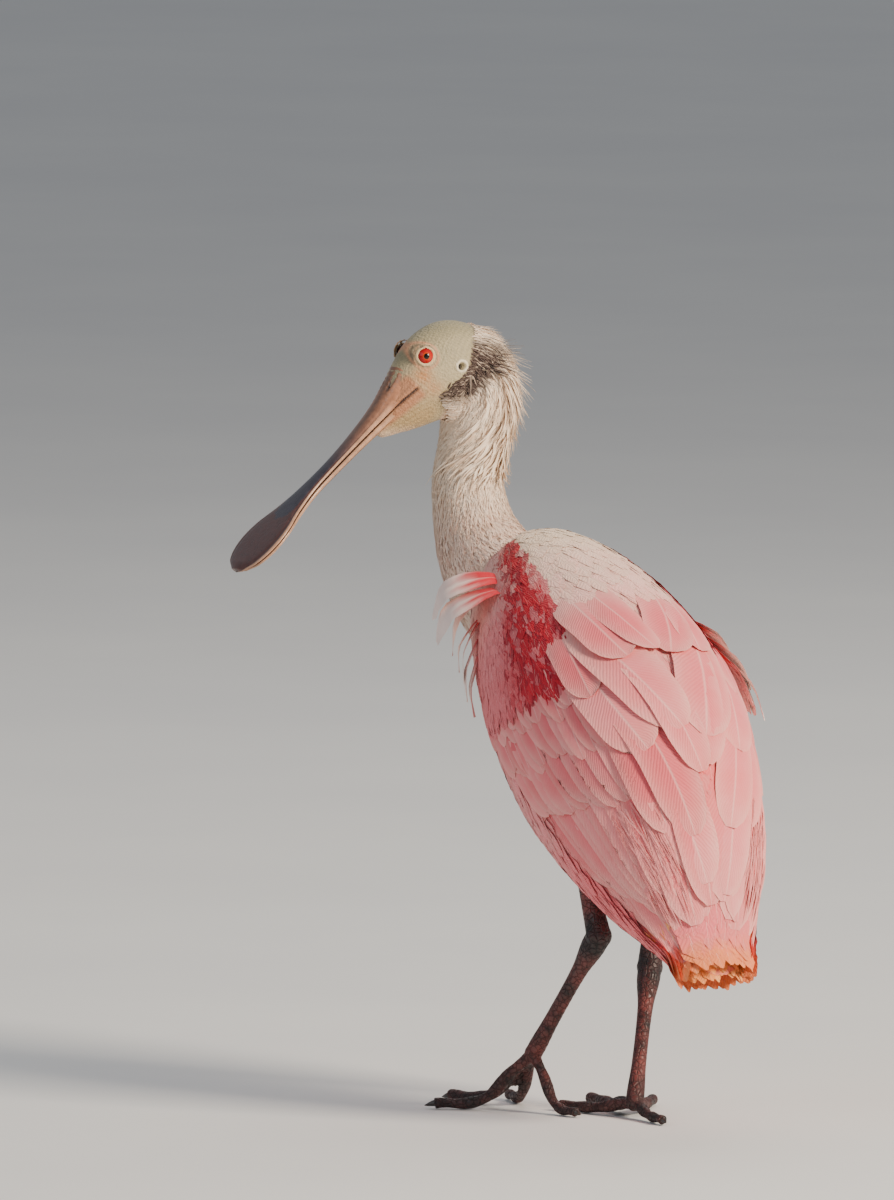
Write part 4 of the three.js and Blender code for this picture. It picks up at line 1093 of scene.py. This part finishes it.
def tier(count, root, tip, half, lift):
    """One row of a wing, from its first feather to its last, with a little disorder."""
    t = np.linspace(0, 1, count)
    lay = rng.normal(0, 1, (count, 6))
    roots = pair(root[0] + (root[1] - root[0]) * t + 0.006 * lay[:, 0],
                 root[2] + (root[3] - root[2]) * t + 0.8 * lay[:, 1])
    tips = pair(tip[0] + (tip[1] - tip[0]) * t + 0.010 * lay[:, 2],
                tip[2] + (tip[3] - tip[2]) * t + 1.0 * lay[:, 3])
    return roots, tips, half * (1 + 0.06 * lay[:, 4]), np.array(lift) + pair(0, 0.25 * lay[:, 5])


def folded(name, outline, side, tiers, **look):
    """A wing's rows as one piece, on the side given, 1 for the left."""
    roots, tips, halves, lifts = (np.concatenate(parts) for parts in zip(*tiers))
    feathers(name, plume, outline, roots * [1, side], tips * [1, side], halves, lifts, wing_tint, quill, body_patch,
             tilt=-0.1 * side, wave=0.3, slot="wing_plumage", **look)


for side_name, side in (("left", 1), ("right", -1)):
    mirror = np.array([1, side])
    folded("quills_" + side_name, LONG, side, [
        tier(12, (0.5, 0.46, 108, 84), (0.78, 1.01, 112, 60), 11, (-5.6, -3.4)),
        tier(10, (0.44, 0.50, 98, 52), (0.83, 1.00, 92, 36), 12, (-5.4, -2.5)),
        tier(8, (0.42, 0.52, 72, 30), (0.90, 0.97, 60, 14), 14, (-5, -1.7)),
        tier(13, (0.36, 0.4, 106, 46), (0.62, 0.76, 112, 42), 11, (-6, -0.6)),
    ], bow=2.0 * side, ragged=0.004, nodes=("wing_" + side_name,))
    folded("coverts_" + side_name, BROAD, side, [
        tier(15, (0.33, 0.38, 106, 44), (0.54, 0.64, 110, 48), 9.5, (-5, 0.2)),
        tier(16, (0.27, 0.33, 107, 42), (0.46, 0.56, 111, 46), 8.5, (-4, 0.9)),
    ], ragged=0.006)
    count = 3400
    s = np.sort(rng.uniform(0.05, 0.44, count))
    f = rng.uniform(33, 108, count)
    kept = (f < 110 - 56 * smoothstep(s, 0.34, 0.46)) & (f > 38 + 3 * smoothstep(s, 0.2, 0.4))
    s, f = s[kept], f[kept]
    tip = pair(s + rng.uniform(0.055, 0.085, len(s)), f + rng.normal(2, 2.5, len(s)))
    top = 0.4 + 1.1 * smoothstep(f, 40, 56) + rng.uniform(0, 0.7, len(s))
    feathers("lesser_" + side_name, plume, SMALL, pair(s, f) * mirror, tip * mirror,
             rng.uniform(2.2, 4.4, len(s)), pair(top - 2.6, top), lesser_tint, contour, body_patch, thick=0.22,
             ragged=0.16, wave=0.2, slot="wing_plumage")
    lay = rng.normal(0, 1, (len(SCAPULARS), 4)) * (1 if side < 0 else 0.2)
    roots = (SCAPULARS[:, 0:2] + lay[:, :2] * [0.012, 1.5]) * mirror
    tips = (SCAPULARS[:, 2:4] + lay[:, 2:] * [0.015, 1.5]) * mirror
    above = SCAPULARS[:, 5] - (0.5 if side < 0 else 0)
    broad = SCAPULARS[:, 4] * rng.uniform(0.92, 1.22, len(SCAPULARS))
    feathers("scapulars_" + side_name, plume, LONG, roots, tips, broad, pair(above - 4.5, above), wing_tint, quill,
             body_patch, tilt=-0.07 * side, bow=rng.uniform(-1, 4, len(broad)) * side, ragged=0.004, wave=0.9,
             slot="wing_plumage")
    count = 170
    root = pair(rng.uniform(0.72, 0.86, count), rng.uniform(34, 62, count))
    tip = root + pair(rng.uniform(0.07, 0.12, count), rng.normal(-5, 2.5, count))
    feathers("wisps_" + side_name, plume, LOCK, root * mirror, tip * mirror, rng.uniform(0.8, 1.7, count),
             pair(-3.0, rng.uniform(-0.6, 1.2, count)), wing_tint, down, body_patch, slot="wing_plumage")

# The wind has lifted a few feathers: two broad red ones with white tips off the left shoulder with
# some hanging wisps below them, and a short fringe off the edge of the right wing.
# The left ones, in rows: root place and turn, tip place and turn, half-width, lift of the tip
LOOSE = np.array([
    [0.18, 58, 0.185, 97, 10.5, 27], [0.21, 60, 0.235, 100, 10, 25], [0.17, 68, 0.24, 106, 6, 15],
    [0.2, 84, 0.31, 106, 3.2, 11], [0.22, 90, 0.34, 110, 3, 10], [0.24, 95, 0.37, 112, 2.8, 8],
    [0.19, 88, 0.29, 104, 3, 13], [0.25, 99, 0.36, 115, 2.6, 7],
])
FRINGE = 12  # feathers off the right wing's edge


def tuft_tint(root, t, c, share):
    streak = 0.5 + 0.5 * np.sin(c * 11 + t * 3)
    return layered(SCARLET, (srgb(250, 226, 218), smoothstep(t + 0.18 * streak, 0.32, 0.62)))


feathers("tuft_left", plume, BROAD, LOOSE[:, 0:2], LOOSE[:, 2:4], LOOSE[:, 4], pair(-3, LOOSE[:, 5]), tuft_tint, quill,
         body_patch, ragged=0.05, wave=0.6, slot="wing_plumage")
fringe = rng.uniform(0, 1, FRINGE)
root = pair(0.3 + 0.1 * fringe, -58 - 8 * rng.uniform(0, 1, FRINGE))
feathers("tuft_right", plume, BROAD, root, root + pair(0.1 + 0.05 * fringe, -8 - 6 * fringe),
         rng.uniform(3.4, 5.6, FRINGE), pair(-3.0, rng.uniform(8, 15, FRINGE)), tuft_tint, quill, body_patch,
         ragged=0.06, wave=0.5, slot="wing_plumage")


# The tail is short and buff-orange: a fan of twelve broad feathers under the wing tips, others
# under and inside it, and soft coverts that close round its end in a ragged fringe.
def tail_tint(root, t, c, share):
    return layered(
        SALMON,
        (ORANGE, smoothstep(root[..., 0] + 0.1 * t, 0.95, 1.02)),
        (srgb(252, 190, 124), (0.2 + 0.6 * share) * smoothstep(t, 0.3, 0.9)),
    )


fan = np.linspace(-1, 1, 12)
for name, turn, reach, tip_turn, half, lift, nodes in (
    ("tail_fan", fan * 34, 1.055 - 0.03 * np.abs(fan), fan * 52, 10, (-12, -12), ("tail",)),
    ("tail_under", 180 + fan * 60, 1.0 - 0.03 * np.abs(fan), 180 + fan * 70, 8, (-9, -11), ()),
    ("tail_heart", fan * 165, 1.01, fan * 165, 7, (-12, -10), ()),
):
    feathers(name, plume, LONG, pair(0.86, turn), pair(reach, tip_turn), half, lift, tail_tint, quill, body_patch,
             ragged=0.03, wave=0.3, slot="tail_plumage", nodes=nodes)
count = 760
f = rng.uniform(-180, 180, count)
under = smoothstep(np.abs(f), 70, 110)
s = 0.90 + 0.02 * under + (0.105 - 0.06 * under) * rng.uniform(0, 1, count)
tip = pair(s + rng.uniform(0.04, 0.065, count), f + rng.normal(0, 4, count))
outer = -3.6 + 1.6 * under + rng.uniform(-0.8, 0.8, count)
drop = 9 * smoothstep(s, 0.94, 1.0)
feathers("tail_coverts", plume, SMALL, pair(s, f), tip, rng.uniform(3.0, 4.6, count),
         pair(outer - 2 - 0.4 * drop, outer - drop), tail_tint, contour, body_patch, thick=0.25, ragged=0.16,
         wave=0.3, slot="tail_plumage")
